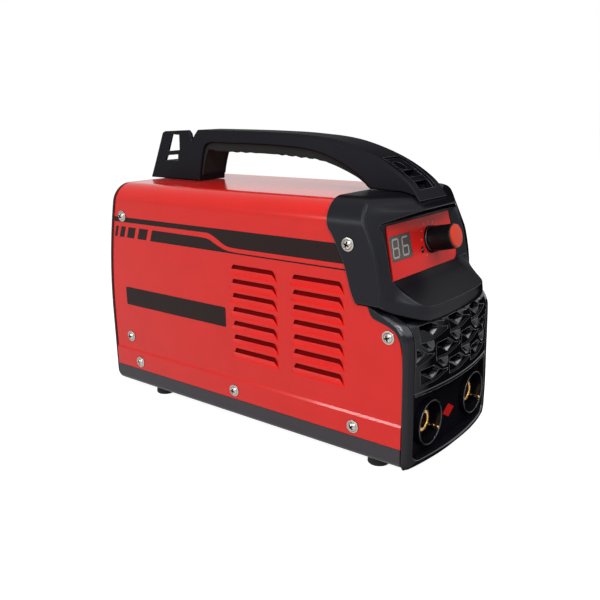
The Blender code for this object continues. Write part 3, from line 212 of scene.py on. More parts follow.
SMOOTH = {"grain": (700, 0.004), "cloud": 0.03, "rough_spread": 0.02}
CALM = {"grain": (2600, 0.03), "edge": 0.6, "calm": (0.2, 0.64)}
RED = finish("red_enamel", (0.66, 0.015, 0.0105), 0.2, coat=0.12, specular=0.18, **SMOOTH)
# The flaps get a brighter, deeper copy of the cover's red: painted light for the light the bent flaps catch.
LIT_FLAP_RED = finish("red_enamel_flaps_painted_light", (0.96, 0.007, 0.002), 0.15, specular=0.11, **SMOOTH)
STRIPE = finish("stripe_ink", (0.016, 0.007, 0.007), 0.4, specular=0.1, grain=(700, 0.02))
BLACK = finish("black_plastic", (0.0056, 0.0056, 0.0078), 0.34, specular=0.17, shine=0.9,
               level=(0.005, 0.88, 0.96), **CALM)
HANDLE = finish("handle_black", (0.0064, 0.0064, 0.009), 0.45, specular=0.09, shine=0.5,
                level=(0.0027, 0.88, 0.96), **CALM)
BEZEL = finish("bezel_black", (0.0045, 0.0045, 0.0062), 0.22, specular=0.26, grain=(2600, 0.02),
               edge=0.6, calm=(0.14, 0.5), shine=0.9, level=(1.0, 0.3, 0.45))
GLOSS = finish("gloss_black", (0.003, 0.003, 0.0045), 0.2, specular=0.6, grain=(900, 0.01), edge=0.4,
               calm=(0.12, 0.44), shine=1.0, level=(0.6, 0.5, 0.64))
MATT = finish("matt_black", (0.005, 0.005, 0.007), 0.6, specular=0.06, grain=(2200, 0.04),
              calm=(0.2, 0.55))
MARK = finish("mark_red", (0.46, 0.014, 0.012), 0.6, specular=0.0)
PAN = finish("pan_grey", (0.036, 0.033, 0.039), 0.45, specular=0.2, grain=(2200, 0.05))
RUBBER = finish("rubber", (0.009, 0.009, 0.009), 0.75, specular=0.2, grain=(2600, 0.09))
# The steel and the brass get painted shade in their crevices and hollows.
STEEL = finish("plated_steel", (0.38, 0.36, 0.33), 0.2, 1.0, grain=(1500, 0.02), painted_crevice_shade=3)
BRASS = finish("brass", (0.6, 0.36, 0.1), 0.22, 1.0, grain=(1500, 0.02), painted_crevice_shade=6)
COPPER = finish("copper", (0.75, 0.36, 0.2), 0.35, 1.0)
ALUMINIUM = finish("aluminium", (0.7, 0.7, 0.72), 0.4, 1.0)
LABEL = finish("label_red", (0.62, 0.012, 0.009), 0.35, specular=0.15, grain=(900, 0.004), cloud=0.03,
               rough_spread=0.02)
DISPLAY = finish("display_grey", (0.074, 0.069, 0.068), 0.2, specular=0.15, grain=(900, 0.005),
                 rough_spread=0.02)
DIGIT = finish("digit_grey", (0.34, 0.31, 0.28), 0.3, specular=0.3, grain=(900, 0.005))
SCALE = finish("print_white", (0.42, 0.36, 0.34), 0.45, specular=0.2, grain=(900, 0.01))
KNOB = finish("knob_black", (0.004, 0.004, 0.0045), 0.3, specular=0.25, grain=(2200, 0.02))
CAP = finish("cap_orange", (0.6, 0.044, 0.018), 0.4, specular=0.12, grain=(1500, 0.02))
ROCKER = finish("rocker_red", (0.5, 0.02, 0.015), 0.25, grain=(900, 0.01))
BOARD = finish("circuit_green", (0.02, 0.14, 0.05), 0.5)
FERRITE = finish("ferrite", (0.05, 0.05, 0.055), 0.6)
TAPE = finish("tape_yellow", (0.7, 0.5, 0.08), 0.5)
SLEEVE = finish("sleeve_blue", (0.02, 0.04, 0.16), 0.4)
# A dark red that paints the shade inside the louvre slots.
SLOT_SHADE = finish("painted_slot_shade", (0.21, 0.005, 0.005), 0.8, specular=0.05, grain=(600, 0.1))
SLOT_PAINT = {"cover_red": RED, "pan_grey": PAN, "black_plastic": BLACK, "gloss_black": GLOSS,
              "rubber": RUBBER, "plated_steel": STEEL, "brass": BRASS, "copper": COPPER,
              "aluminium": ALUMINIUM, "label_red": LABEL, "display": DISPLAY, "cap_orange": CAP,
              "rocker_red": ROCKER, "circuit": BOARD, "ferrite": FERRITE, "winding": TAPE,
              "capacitor": SLEEVE}


def solid(name, bm, frame=None):
    """A mesh object from a bmesh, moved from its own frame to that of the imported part."""
    bmesh.ops.recalc_face_normals(bm, faces=bm.faces)
    mesh = bpy.data.meshes.new(name)
    bm.to_mesh(mesh)
    bm.free()
    mesh.transform(TO_FRAME @ frame if frame else TO_FRAME)
    obj = bpy.data.objects.new(name, mesh)
    SCENE.collection.objects.link(obj)
    return obj


def settle(obj):
    """Apply an object's modifiers."""
    bpy.context.view_layer.update()
    graph = bpy.context.evaluated_depsgraph_get()
    shaped = bpy.data.meshes.new_from_object(obj.evaluated_get(graph))
    obj.modifiers.clear()
    obj.data = shaped


def carve(obj, tool, operation="DIFFERENCE"):
    cut = obj.modifiers.new("cut", "BOOLEAN")
    cut.operation = operation
    cut.solver = "MANIFOLD"
    cut.object = tool
    settle(obj)
    bpy.data.objects.remove(tool)


def piece(name, bm, paint, slot=None, body="case", frame=None, nodes=None, cuts=(), joins=(), adds=(),
          round_off=0, angle=35):
    """Make a piece: join and cut solids, round its edges, add loose parts, and set it on its body.

    A piece with a slot replaces the CAD node of its own name, unless other nodes are given.
    """
    obj = solid(name, bm, frame)
    for tool in joins:
        carve(obj, solid("join", tool, frame), "UNION")
    for tool in cuts:
        carve(obj, solid("cut", tool, frame))
    if round_off:
        bevel = obj.modifiers.new("round", "BEVEL")
        bevel.width = round_off * MM
        bevel.segments = 2
        bevel.limit_method = "ANGLE"
        bevel.angle_limit = radians(40)
        settle(obj)
    if adds:
        whole = bmesh.new()
        whole.from_mesh(obj.data)
        for extra in adds:
            part = solid("extra", extra, frame)
            whole.from_mesh(part.data)
            bpy.data.objects.remove(part)
        whole.to_mesh(obj.data)
        whole.free()
    obj.data.shade_smooth()
    obj.data.set_sharp_from_angle(angle=radians(angle))
    flat = obj.modifiers.new("flat", "WEIGHTED_NORMAL")
    flat.keep_sharp = True
    settle(obj)
    obj.data.materials.clear()
    obj.data.materials.append(paint)
    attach(obj, body)
    if slot:
        nodes = (name,) if nodes is None else nodes
    if nodes:
        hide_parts(*nodes)


def vertex(bm, point):
    return bm.verts.new([value * MM for value in point])


TURNS = {"X": spin(90, "Y"), "Y": spin(-90, "X"), "Z": Matrix.Identity(4)}


def block(place, size, bm=None):
    """A box of a size, centred in its frame."""
    bm = bm or bmesh.new()
    bmesh.ops.create_cube(bm, size=1, matrix=place @ Matrix.Diagonal([*[s * MM for s in size], 1]))
    return bm


def pole(radius, length, place, segments=48, bm=None):
    """A cylinder centred in its frame, along the frame's third axis."""
    bm = bm or bmesh.new()
    bmesh.ops.create_cone(bm, cap_ends=True, segments=segments, radius1=radius * MM, radius2=radius * MM,
                          depth=length * MM, matrix=place)
    return bm


def rod(radius, start, length, axis="Z", segments=48, bm=None):
    """A cylinder that runs from a start along an axis."""
    return pole(radius, length, shift(*start) @ TURNS[axis] @ shift(0, 0, length / 2), segments, bm)


def prism(outline, start, end, axis, bm=None):
    """Extrude a flat outline along an axis; its pairs are the two other axes in order."""
    bm = bm or bmesh.new()
    order = {"X": lambda a, b, t: (t, a, b), "Y": lambda a, b, t: (a, t, b),
             "Z": lambda a, b, t: (a, b, t)}[axis]
    face = bm.faces.new([vertex(bm, order(a, b, start)) for a, b in outline])
    pulled = bmesh.ops.extrude_face_region(bm, geom=[face])["geom"]
    moved = [item for item in pulled if isinstance(item, bmesh.types.BMVert)]
    bmesh.ops.translate(bm, vec=order(0, 0, (end - start) * MM), verts=moved)
    return bm


def prisms(outlines, start, end, axis):
    bm = bmesh.new()
    for outline in outlines:
        prism(outline, start, end, axis, bm)
    return bm


def loft(loops, bm=None):
    """Join closed loops with the same number of points, and cap both ends."""
    bm = bm or bmesh.new()
    rings = [[vertex(bm, point) for point in loop] for loop in loops]
    for ring, after in zip(rings, rings[1:]):
        for i in range(len(ring)):
            bm.faces.new((ring[i - 1], ring[i], after[i], after[i - 1]))
    bm.faces.new(rings[0])
    bm.faces.new(rings[-1])
    return bm


def turned(profile, segments, axis="Z", place=(0, 0, 0), ring=False, wave=None):
    """Spin a profile of (radius, height) pairs about an axis; a wave takes from the radius round the turn."""
    bm = bmesh.new()
    rounds = []
    for i in range(segments):
        a = 2 * pi * i / segments
        section = [(r - wave(a, h), h) for r, h in profile] if wave else profile
        rounds.append([vertex(bm, (r * cos(a), r * sin(a), h)) for r, h in section])
    count = len(profile)
    for one, two in zip(rounds, rounds[1:] + rounds[:1]):
        for k in range(count if ring else count - 1):
            bm.faces.new((one[k], two[k], two[(k + 1) % count], one[(k + 1) % count]))
    bmesh.ops.remove_doubles(bm, verts=bm.verts, dist=1e-7)
    bmesh.ops.dissolve_degenerate(bm, edges=bm.edges, dist=1e-7)
    bmesh.ops.transform(bm, matrix=shift(*place) @ TURNS[axis], verts=bm.verts)
    return bm


def slab(near, far):
    """Close the space between two grids of points with the same rows and columns."""
    bm = bmesh.new()
    grids = [[[vertex(bm, point) for point in row] for row in grid] for grid in (near, far)]
    rows, columns = len(near), len(near[0])
    for grid in grids:
        for r in range(rows - 1):
            for c in range(columns - 1):
                bm.faces.new((grid[r][c], grid[r][c + 1], grid[r + 1][c + 1], grid[r + 1][c]))
    rim = [(0, c) for c in range(columns)] + [(r, columns - 1) for r in range(1, rows)]
    rim += [(rows - 1, c) for c in range(columns - 2, -1, -1)] + [(r, 0) for r in range(rows - 2, 0, -1)]
    for (r0, c0), (r1, c1) in zip(rim, rim[1:] + rim[:1]):
        bm.faces.new((grids[0][r0][c0], grids[0][r1][c1], grids[1][r1][c1], grids[1][r0][c0]))
    return bm


def hull(points, bm=None):
    bm = bm or bmesh.new()
    wrapped = bmesh.ops.convex_hull(bm, input=[vertex(bm, point) for point in points])
    spare = [item for item in wrapped["geom_interior"] if isinstance(item, bmesh.types.BMVert)]
    bmesh.ops.delete(bm, geom=spare, context="VERTS")
    return bm


def between(pairs, t):
    """Straight-line reading of (t, value) pairs."""
    for (t0, v0), (t1, v1) in zip(pairs, pairs[1:]):
        if t <= t1:
            return v0 + (v1 - v0) * max(0, t - t0) / (t1 - t0)
    return pairs[-1][1]


def spline(points, steps):
    """A smooth curve through points of any dimension, with a number of steps between each pair."""
    ends = [points[0]] + list(points) + [points[-1]]
    curve = []
    for a, b, c, d in zip(ends, ends[1:], ends[2:], ends[3:]):
        for i in range(steps):
            t = i / steps
            weights = (-t + 2 * t**2 - t**3, 2 - 5 * t**2 + 3 * t**3, t + 4 * t**2 - 3 * t**3, t**3 - t**2)
            curve.append(tuple(sum(w * p[k] for w, p in zip(weights, (a, b, c, d))) / 2
                               for k in range(len(b))))
    return curve + [tuple(points[-1])]


def arc(centre, radius, start, end, steps=8):
    """Points on an arc, with its angles in quarter turns."""
    angles = [(start + (end - start) * i / steps) * pi / 2 for i in range(steps + 1)]
    return [(centre[0] + radius * cos(a), centre[1] + radius * sin(a)) for a in angles]


def arch(half, top, radius, bottom, steps=12):
    """An upside-down U from its lower left end to its lower right end."""
    left = arc((radius - half, top - radius), radius, 2, 1, steps)
    right = arc((half - radius, top - radius), radius, 1, 0, steps)
    return [(-half, bottom)] + left + right + [(half, bottom)]


def rounded(low, high, radius, steps=6):
    """A rectangle with round corners."""
    x0, y0 = (value + radius for value in low)
    x1, y1 = (value - radius for value in high)
    corners = ((x0, y0, 2), (x1, y0, 3), (x1, y1, 0), (x0, y1, 1))
    return [point for x, y, turn in corners for point in arc((x, y), radius, turn, turn + 1, steps)]


def centred(half_width, half_height, radius):
    return rounded((-half_width, -half_height), (half_width, half_height), radius)


def steps_between(start, end, step):
    count = max(1, ceil(abs(end - start) / step))
    return [start + (end - start) * i / count for i in range(count + 1)]


def mirrored(line):
    """A line of (x, z) pairs that ends in the middle, carried on to the other side."""
    return line + [(-x, z) for x, z in reversed(line[:-1])]


def left_of(before, after):
    """A unit vector to the left of the way from one point to another."""
    run = (Vector(after) - Vector(before)).normalized()
    return Vector((-run.y, run.x))


def moved_left(line, distance):
    """The inner points of a line, each moved to the left by its own distance."""
    return [tuple(Vector(point) + left_of(before, after) * distance(point))
            for before, point, after in zip(line, line[1:], line[2:])]


RIDGE = spline(BEZEL_RIDGE, 5)
REAR = spline(BEZEL_REAR, 5)


def rear_edge(z):
    """Depth of the cover's rear edge, which leans forward in an arc above the middle."""
    return COVER_REAR - max(0, z - REAR_ARC_START) ** 2 / (2 * REAR_ARC_RADIUS)


def rear_line(offset):
    heights = steps_between(REAR_ARC_START, CUT_TOP, 4)
    return [(COVER_REAR + offset, 0)] + [(rear_edge(z) + offset, z) for z in heights]


def side_cut(outline):
    return prism(outline, -80, 80, "X")


def rear_corner():
    rear = COVER_REAR + GAP + FLANGE
    bend = arc((rear - REAR_CORNER, PAN_BOTTOM + REAR_CORNER), REAR_CORNER, 4, 3, 10)
    return side_cut(bend + [(bend[-1][0], 0), (rear + 10, 0), (rear + 10, bend[0][1])])


def bow(x):
    """How far the front stands out at a distance from the middle."""
    return FRONT_BOW * (1 - min(1.0, abs(x) / RIM_HALF) ** 2)


COVER_FRONT_LINE = [(COVER_BOTTOM, -1.5), (68, -1.5)]
COVER_FRONT_LINE += spline([(z, y + GAP) for z, y in BEZEL_REAR[1:]], 4)
COVER_FRONT_LINE += [(104.2, 23), (112, 27), (147, 34), (170, 38)]


def cover_path(inset):
    """The cover's section from its lower left edge over the top to its lower right edge."""
    half = HALF_WIDTH - inset
    strip = half + STRIP_STEP
    foot = STRIP_TOP - STRIP_SLOPE
    start = COVER_TOP - COVER_RADIUS
    heights = ([STRIP_TOP + 0.5] + steps_between(40, 68, 6.9) + steps_between(70, 106, 1.2)
               + steps_between(110, start - 0.6, 6))
    side = [(half, z) for z in heights]
    right = arc((half - COVER_RADIUS + inset, start), COVER_RADIUS - inset, 1, 0, 14)
    low = [(half, STRIP_TOP), (half + 0.1 * STRIP_STEP, STRIP_TOP - 0.3),
           (strip - 0.1 * STRIP_STEP, foot + 0.3), (strip, foot), (strip, foot - 0.5), (strip, COVER_BOTTOM)]
    down = right + side[::-1] + low
    return [(-x, z) for x, z in reversed(down)] + [(right[0][0] - 0.6, COVER_TOP - inset)] + down


def louvre_places():
    for row in range(LOUVRE_ROWS):
        for column in LOUVRE_COLUMNS:
            for side in SIDES.values():
                yield side, column, LOUVRE_TOP - row * LOUVRE_PITCH


def louvre_holes():
    """The openings that the flaps were lanced from, wider at the foot than at the slot."""
    bm = bmesh.new()
    foot = LOUVRE_DROP - LOUVRE_CORNER
    splay = LOUVRE_SPLAY * foot / LOUVRE_DROP
    for side, start, top in louvre_places():
        ends = sorted((side * (HALF_WIDTH - 4), side * (HALF_WIDTH + 4)))
        end = start + LOUVRE_LENGTH
        prism([(start - splay, top - foot), (start - 0.2, top - LOUVRE_CORNER), (start + LOUVRE_CORNER, top),
               (end - LOUVRE_CORNER, top), (end + 0.2, top - LOUVRE_CORNER), (end + splay, top - foot)],
              *ends, "X", bm)
    return bm


def louvre_flap(side, start, top):
    """A flap bent out at its upper edge and free along that edge and both ends."""
    near, far = [], []
    for i in range(11):
        t = i / 10
        reach = LOUVRE_REACH * (1 - t) ** 1.45 - 0.04
        z = top - LOUVRE_SLOT - (LOUVRE_DROP - LOUVRE_SLOT) * t
        splay = LOUVRE_SPLAY * (top - z) / LOUVRE_DROP - 0.4
        row = [start - splay + (LOUVRE_LENGTH + 2 * splay) * k / 12 for k in range(13)]
        near.append([(side * (HALF_WIDTH + reach), y, z) for y in row])
        far.append([(side * (HALF_WIDTH + reach - 0.8), y, z - 0.2 * (1 - t)) for y in row])
    return slab(near, far)


def cover():
    near, far = [], []
    for (x, z), (xi, zi) in zip(cover_path(0), cover_path(SHEET)):
        front, rear = between(COVER_FRONT_LINE, z), rear_edge(z)
        depths = [front + (rear - front) * f for f in (0, 0.004, 0.5, 0.996, 1.0)]
        near.append([(x, y, z) for y in depths])
        far.append([(xi, y, zi) for y in depths])
    piece("cover", slab(near, far), RED, "cover_red", nodes=("cover_shell",), cuts=[louvre_holes()], angle=28)
    flaps = [louvre_flap(*place) for place in louvre_places()]
    piece("louvres", flaps[0], LIT_FLAP_RED, "cover_red", nodes=(), adds=flaps[1:], angle=28)


def shade_sheets_behind_louvres():
    """Dark red sheets behind the louvres, bent away from the cover above and below: painted shade for the
    dark inside seen through the slots.
    """
    for side, sign in SIDES.items():
        near, far = [], []
        for z in steps_between(40, 122, 4):
            bend = 1 + 0.006 * max(0, abs(z - 81) - 36)
            x = sign * (HALF_WIDTH - SHEET - bend)
            depths = steps_between(36, 136, 10)
            near.append([(x, y, z) for y in depths])
            far.append([(x - sign * 0.4, y, z) for y in depths])
        piece(f"louvre_shade_sheet_{side}", slab(near, far), SLOT_SHADE)


INK = 0.08
BAND_STRIPE = [(251, 138.4), (251.6, 134.7), (152, 134.7), (149, 134), (144, 131.8), (138, 128.6),
               (135, 127.4), (131, 126.7), (122, 126.5), (36, 126.5), (36, 138.4)]
SLANT_HEIGHTS = (131.3, 123.2, 123.2, 131.3)
SLANTS = [(249.8, 252.5, 249.7, 246.8), (243.6, 246.7, 241.4, 238.6), (235.3, 238.3, 229.9, 227),
          (223, 226.1, 216.3, 213.2)]
LINE_STRIPE = [(208.7, 131.3), (211.8, 123), (135, 122.8), (36, 122.6), (36, 123.5), (126, 123.7),
               (132, 124), (136, 124.6), (141.2, 126.2), (146.7, 128.5), (150, 130.2), (154, 130.9),
               (158, 131.1)]
STRIPES = [BAND_STRIPE, *[list(zip(slant, SLANT_HEIGHTS)) for slant in SLANTS], LINE_STRIPE]
NAMEPLATE = ((138, 70.2), (244.3, 84.3))


def stripes():
    """Printed stripes and the bare dark plate, as thin films on both sides of the cover."""
    plate = rounded(*NAMEPLATE, 1.2, 4)
    for side, sign in SIDES.items():
        ends = sorted((sign * (HALF_WIDTH - 0.1), sign * (HALF_WIDTH + INK)))
        piece(f"stripes_{side}", prisms(STRIPES, *ends, "X"), STRIPE)
        piece(f"nameplate_{side}", prism(plate, *ends, "X"), STRIPE)


def pan():
    top = COVER_BOTTOM - GAP
    centre = PAN_BOTTOM + PAN_RADIUS
    inner = STRIP_HALF - PAN_WALL
    floor = PAN_BOTTOM + PAN_WALL
    outline = [(-STRIP_HALF, top)] + arc((PAN_RADIUS - STRIP_HALF, centre), PAN_RADIUS, 2, 3)
    outline += arc((STRIP_HALF - PAN_RADIUS, centre), PAN_RADIUS, 3, 4) + [(STRIP_HALF, top)]
    outline += [(inner, top), (inner, floor), (-inner, floor), (-inner, top)]
    piece("pan", prism(outline, -1.2, COVER_REAR, "Y"), PAN, "pan_grey", nodes=("base_pan",),
          cuts=[rear_corner()])


FOOT_X = 45.5
FOOT_PLACES = {"front": 20, "rear": 218}


def feet():
    top = PAN_BOTTOM - 0.05
    profile = [(0, 0), (3, 0)] + arc((5.8, 1.4), 1.4, 3, 4, 6)
    profile += [(6.9, 4), (6.6, top), (0, top)]
    for end, y in FOOT_PLACES.items():
        for side, sign in SIDES.items():
            piece(f"foot_{end}_{side}", turned(profile, 48, "Z", (sign * FOOT_X, y, 0)), RUBBER, "rubber")


# Depth and height of each side screw, and how far its seat stands out from the cover
SCREWS = {"rear_low": (232.2, 25.1, STRIP_STEP), "mid_low": (132, 25.1, STRIP_STEP),
          "front_low": (32.2, 25.1, STRIP_STEP), "rear_mid": (241.9, 44.6, 0), "rear_top": (241.9, 139.2, 0),
          "front_mid": (8, 86.9, 0), "hood": (34.8, 139, 2)}
SCREW_PROFILE = [(0, 2.4), (1.2, 2.32), (2.2, 2), (2.9, 1.4), (3.1, 0.8)]
SCREW_PROFILE += arc((3.9, 0.4), 0.3, 1, 0, 3)
SCREW_PROFILE += [(4.2, 0), (1.7, 0), (1.7, -6), (0, -6)]


def cross_recess(lift=0):
    """A tapered cross for a screwdriver."""
    points = [(2.4, 0.6, 3 + lift), (1, 0.34, 0.3 + lift)]
    corners = [Vector((sx * x, sy * y, z)) for x, y, z in points for sx in (-1, 1) for sy in (-1, 1)]
    return [hull([spin(turn, "Z") @ corner for corner in corners]) for turn in (0, 90)]


def screws():
    for side, sign in SIDES.items():
        for order, (name, (y, z, stand)) in enumerate(SCREWS.items()):
            seat = shift(sign * (HALF_WIDTH + stand + 0.1), y, z) @ spin(sign * 90, "Y")
            piece(f"screw_{name}_{side}", turned(SCREW_PROFILE, 36), STEEL, "plated_steel",
                  frame=seat @ Matrix.Rotation(0.5 + 0.9 * order, 4, "Z"), cuts=cross_recess(), angle=40)


BEZEL_ROUND = 4.2
BEZEL_EDGE = spline([(0, 2.4), (0.7, 1.64), (1.4, 0.96), (2, 0.51), (2.6, 0.24), (3.4, 0.06),
                     (BEZEL_ROUND, 0)], 3)
BEZEL_FOOT = 0.935
BEZEL_NARROWING = spline([(BEZEL_LOW, BEZEL_FOOT), (5.2, 0.968), (8, 0.992), (12, 1.0),
                          (BEZEL_HIGH, 1.0)], 4)


def bezel_paths():
    """The bezel's outer edge and its window's edge, point by point down one side, across and up."""
    side = steps_between(BEZEL_HIGH, 20, 1.6) + steps_between(18.5, 12, 1.2)
    foot = (10.5, 9, 8, 6.6, 5.2, 4.4, BEZEL_LOW)
    outer = [(BEZEL_HALF, z) for z in side] + [(BEZEL_HALF * between(BEZEL_NARROWING, z), z) for z in foot]
    outer += [(BEZEL_HALF * BEZEL_FOOT * (1 - i / 16), BEZEL_LOW) for i in range(1, 17)]
    bend_x, bend_z = WINDOW_HALF - WINDOW_RADIUS, WINDOW_LOW + WINDOW_RADIUS
    inner = [(WINDOW_HALF, z) for z in side if z > bend_z] + arc((bend_x, bend_z), WINDOW_RADIUS, 4, 3, 8)
    rest = len(outer) - len(inner)
    inner += [(bend_x * (1 - i / rest), WINDOW_LOW) for i in range(1, rest + 1)]
    return mirrored(outer), mirrored(inner)


def bezel_section(outer, inner):
    """One closed section of the bezel, from its outer rear edge over the front to the window's wall."""
    (xo, zo), (xi, zi) = outer, inner
    run = hypot(xi - xo, zi - zo)
    rear = between(REAR, zo) - GAP
    marks = [min(BEZEL_ROUND, run - 1.2) * k / 6 for k in range(7)]
    marks += [run - 1, run - 0.5, run - 0.2, run]
    points = []
    for far in marks:
        f = far / run
        x, z = xo + (xi - xo) * f, zo + (zi - zo) * f
        set_back = between(BEZEL_EDGE, far) + 0.9 * max(0, 1 - (run - far)) ** 2.2
        y = between(RIDGE, z) - bow(x) + set_back
        points.append((x, min(y, between(REAR, z) - GAP - 0.2), z))
    wall = max(points[-1][1] + 3, rear)
    return [(xo, rear, zo)] + points + [(xi, wall, zi)]


def bezel():
    sections = [bezel_section(outer, inner) for outer, inner in zip(*bezel_paths())]
    piece("bezel", loft(sections), BEZEL, "black_plastic", nodes=("front_bezel",), angle=40)


GRILLE_HALF = 48.2
GRILLE_TOP = 94.5
GRILLE_LIP_TOP = 52
CELL_PITCH = 29.6
CELL_ROWS = [(82, (-1, 0, 1)), (68.5, (-1.5, -0.5, 0.5, 1.5)), (55.1, (-1, 0, 1))]
CELL_MOUTH = [(-13.6, 0.7), (0, 0.7), (13, 3.7), (14.2, 5), (7.4, 6), (-0.9, 11), (-13.9, 10.7)]
CELL_HOLE = [(0, 1.5), (5.8, 4.9), (7, 5.7), (-0.9, 10.4), (-12.6, 10), (-12.6, 7.8), (-8, 6.6)]
CELL_BACK = [(0, 4), (3.2, 5.8), (4, 6.4), (-0.9, 9.7), (-11, 9.4), (-11, 8.2), (-6.5, 7.2)]
NOTCH_EDGE = [(1, 13.6), (13.4, 13), (14.2, 9.5), (12.5, 7.2), (8.5, 7.6)]
NOTCH_FLOOR = [(6, 13.2, 4.2), (10.5, 12.9, 5.2)]
CELL_OUTSIDE = -6


def grille_front(x, z):
    return between(RIDGE, z) - bow(x) + 0.2


def grille_cells():
    """Scale-like cells in staggered rows: a shallow mouth, a cavity over a sill, a hole and a notch above."""
    mouths, cavities, holes, notches = (bmesh.new() for _ in range(4))
    limit = GRILLE_HALF - 1.2

    def place(x, z, deep):
        across = max(-limit, min(limit, x))
        up = max(GRILLE_LIP_TOP + 0.8, min(GRILLE_TOP, z))
        return across, grille_front(across, min(up, 88)) + deep, up

    for z, columns in CELL_ROWS:
        for column in columns:
            x = column * CELL_PITCH

            def ring(shape, deep):
                return [place(x + dx, z + dz, deep) for dx, dz in shape]

            loft([ring(CELL_MOUTH, CELL_OUTSIDE), ring(CELL_MOUTH, 1.4)], mouths)
            loft([ring(CELL_HOLE, CELL_OUTSIDE), ring(CELL_HOLE, 0.8), ring(CELL_BACK, 4.2)], cavities)
            loft([ring(CELL_BACK, 3.8), ring(CELL_BACK, 12)], holes)
            floor = [place(x + dx, z + dz, deep) for dx, dz, deep in NOTCH_FLOOR]
            hull(ring(NOTCH_EDGE, 0) + floor + ring(NOTCH_EDGE, CELL_OUTSIDE), notches)
    return mouths, cavities, holes, notches


def grille():
    lip = [50.4, 50.9, 51.5, GRILLE_LIP_TOP]
    heights = lip + steps_between(52.4, 80, 4) + steps_between(81.5, GRILLE_TOP, 1.2)
    columns = steps_between(-GRILLE_HALF, GRILLE_HALF, 3)
    near = [[(x, grille_front(x, z) - (0.4 if z in lip else 0), z) for x in columns] for z in heights]
    far = [[(x, grille_front(x, z) + 8.5, z) for x in columns] for z in heights]
    piece("grille", slab(near, far), GLOSS, "gloss_black", nodes=("front_grille",), cuts=grille_cells(),
          angle=14)


SOCKET_X = 29.6
SOCKET_Y = -7.4
SOCKET_Z = 28.1
SOCKET_BORE = 14.8
SOCKET_CUP = arc((13.9, 0.6), 0.6, 4, 2, 8)
SOCKET_CUP += [(13.1, 9.6), (7.5, 9.6), (7.5, 23.5), (12, 23.5), (12, 11.1), (14.5, 11.1)]
SOCKET_CONTACT = [(4.5, 31), (4.5, 5.8)] + arc((5.1, 5.8), 0.6, 2, 3, 4)
SOCKET_CONTACT += arc((6.4, 5.8), 0.6, 3, 4, 4) + [(7, 31)]
KEY_TURN = 38
MARK_OUTLINE = [(-7.5, 25), (0, 20.5), (7.5, 25), (0, 29.5)]


def plate_front(x):
    return -1.2 - 0.38 * bow(x)


def socket_plate():
    columns = steps_between(-50, 50, 3)
    heights = steps_between(8.8, 51.2, 4)
    near = [[(x, plate_front(x), z) for x in columns] for z in heights]
    far = [[(x, 6.4, z) for x in columns] for z in heights]
    bores = bmesh.new()
    for sign in SIDES.values():
        rod(SOCKET_BORE, (sign * SOCKET_X, -20, SOCKET_Z), 40, "Y", 64, bores)
    piece("socket_plate", slab(near, far), MATT, "black_plastic", nodes=("socket_panel",), cuts=[bores])
    mark = loft([[(x, plate_front(x) + depth, z) for x, z in MARK_OUTLINE] for depth in (-0.4, 0.2)])
    piece("socket_mark", mark, MARK)


def sockets():
    """Two cups, each with a key along its wall, a thin strip on the key and a contact in the middle."""
    for side, sign in SIDES.items():
        place = (sign * SOCKET_X, SOCKET_Y, SOCKET_Z)
        turn = shift(*place) @ spin(KEY_TURN, "Y")
        key = block(turn @ shift(10.5, 5.8), (6.2, 9, 1.1))
        strip = block(turn @ shift(11.5, 4.4, 0.9), (2.4, 8.4, 1))
        cup = turned(SOCKET_CUP, 72, "Y", place, ring=True)
        piece(f"socket_{side}", cup, GLOSS, "black_plastic", joins=[key])
        contact = turned(SOCKET_CONTACT, 64, "Y", place, ring=True)
        piece(f"contact_{side}", contact, BRASS, "brass", adds=[strip])


LIP_PLAN = spline([(0, 0.0), (14, 0.012), (28.6, 0.04), (37.3, 0.105), (41.5, 0.25), (45.3, 0.47),
                   (47.6, 0.64), (50, 0.78), (54, 0.91), (HOOD_HALF, 1.0)], 4)
BROW_PLAN = spline([(0, 0.0), (18.5, 0.004), (22.5, 0.035), (26.5, 0.125), (34, 0.333), (46, 0.667),
                    (HOOD_HALF, 1.0)], 4)
HOOD_EDGE = 0.988
HOOD_CHAMFER = 0.7
HOOD_REAR = spline([(104, 29.8), (111.6, 33.3), (122, 36.2), (131.2, 39.7), (143.1, 46.1), (150, 50),
                    (166, 50.5)], 3)
# Rows of the hood's front, upwards: depth and height in the middle and at the cheek, and share of brow
HOOD_ROWS = [(-8.6, 93.2, 12.9, 104.6, 0), (-9.2, 94.4, 12.9, 105.2, 0), (-9.3, 97, 12.8, 106.3, 0),
             (-8.9, 100, 12.8, 107.5, 0), (-8.3, 103, 12.8, 108.8, 0), (-5, 107, 12.9, 110.5, 0.15),
             (0, 113, 13.2, 114.5, 0.5), (4, 122, 14.2, 122, 1), (6, 134, 16.8, 134, 1),
             (6.8, 142, 20.2, 142, 1), (7, 148.6, 23.3, 148.6, 1), (7, 153, 25.2, 153, 1),
             (7, 156, 26.2, 158, 1), (7.8, 156.9, 26.4, 160.2, 1), (11.4, 159.2, 26.8, 162.1, 1),
             (13.4, 161.2, 27.6, 163.4, 1), (16.6, 163.4, 29.5, 164.5, 1), (24, HOOD_TOP, 33.5, HOOD_TOP, 1)]
RECESS_HALF = 49.7


def panel_depth(z):
    return PANEL_Y + (z - PANEL_Z) * tan(PANEL_TILT)


def hood_half(z):
    """Half the hood's width at a height, which narrows in the round top corners."""
    rise = max(0, z - HOOD_TOP + HOOD_RADIUS)
    return HOOD_HALF - HOOD_RADIUS + sqrt(max(0, HOOD_RADIUS ** 2 - rise ** 2))


def hood_front(row, across):
    """A point on the hood's front, with the share of the half width that it lies from the middle."""
    middle_y, middle_z, edge_y, edge_z, brow = row
    far = abs(across)
    plan = (1 - brow) * between(LIP_PLAN, far * HOOD_HALF) + brow * between(BROW_PLAN, far * HOOD_HALF)
    turn = max(0, far - HOOD_EDGE) / (1 - HOOD_EDGE)
    y = middle_y + (edge_y - middle_y) * plan + HOOD_CHAMFER * turn
    return across * hood_half(edge_z), y, middle_z + (edge_z - middle_z) * far ** 4


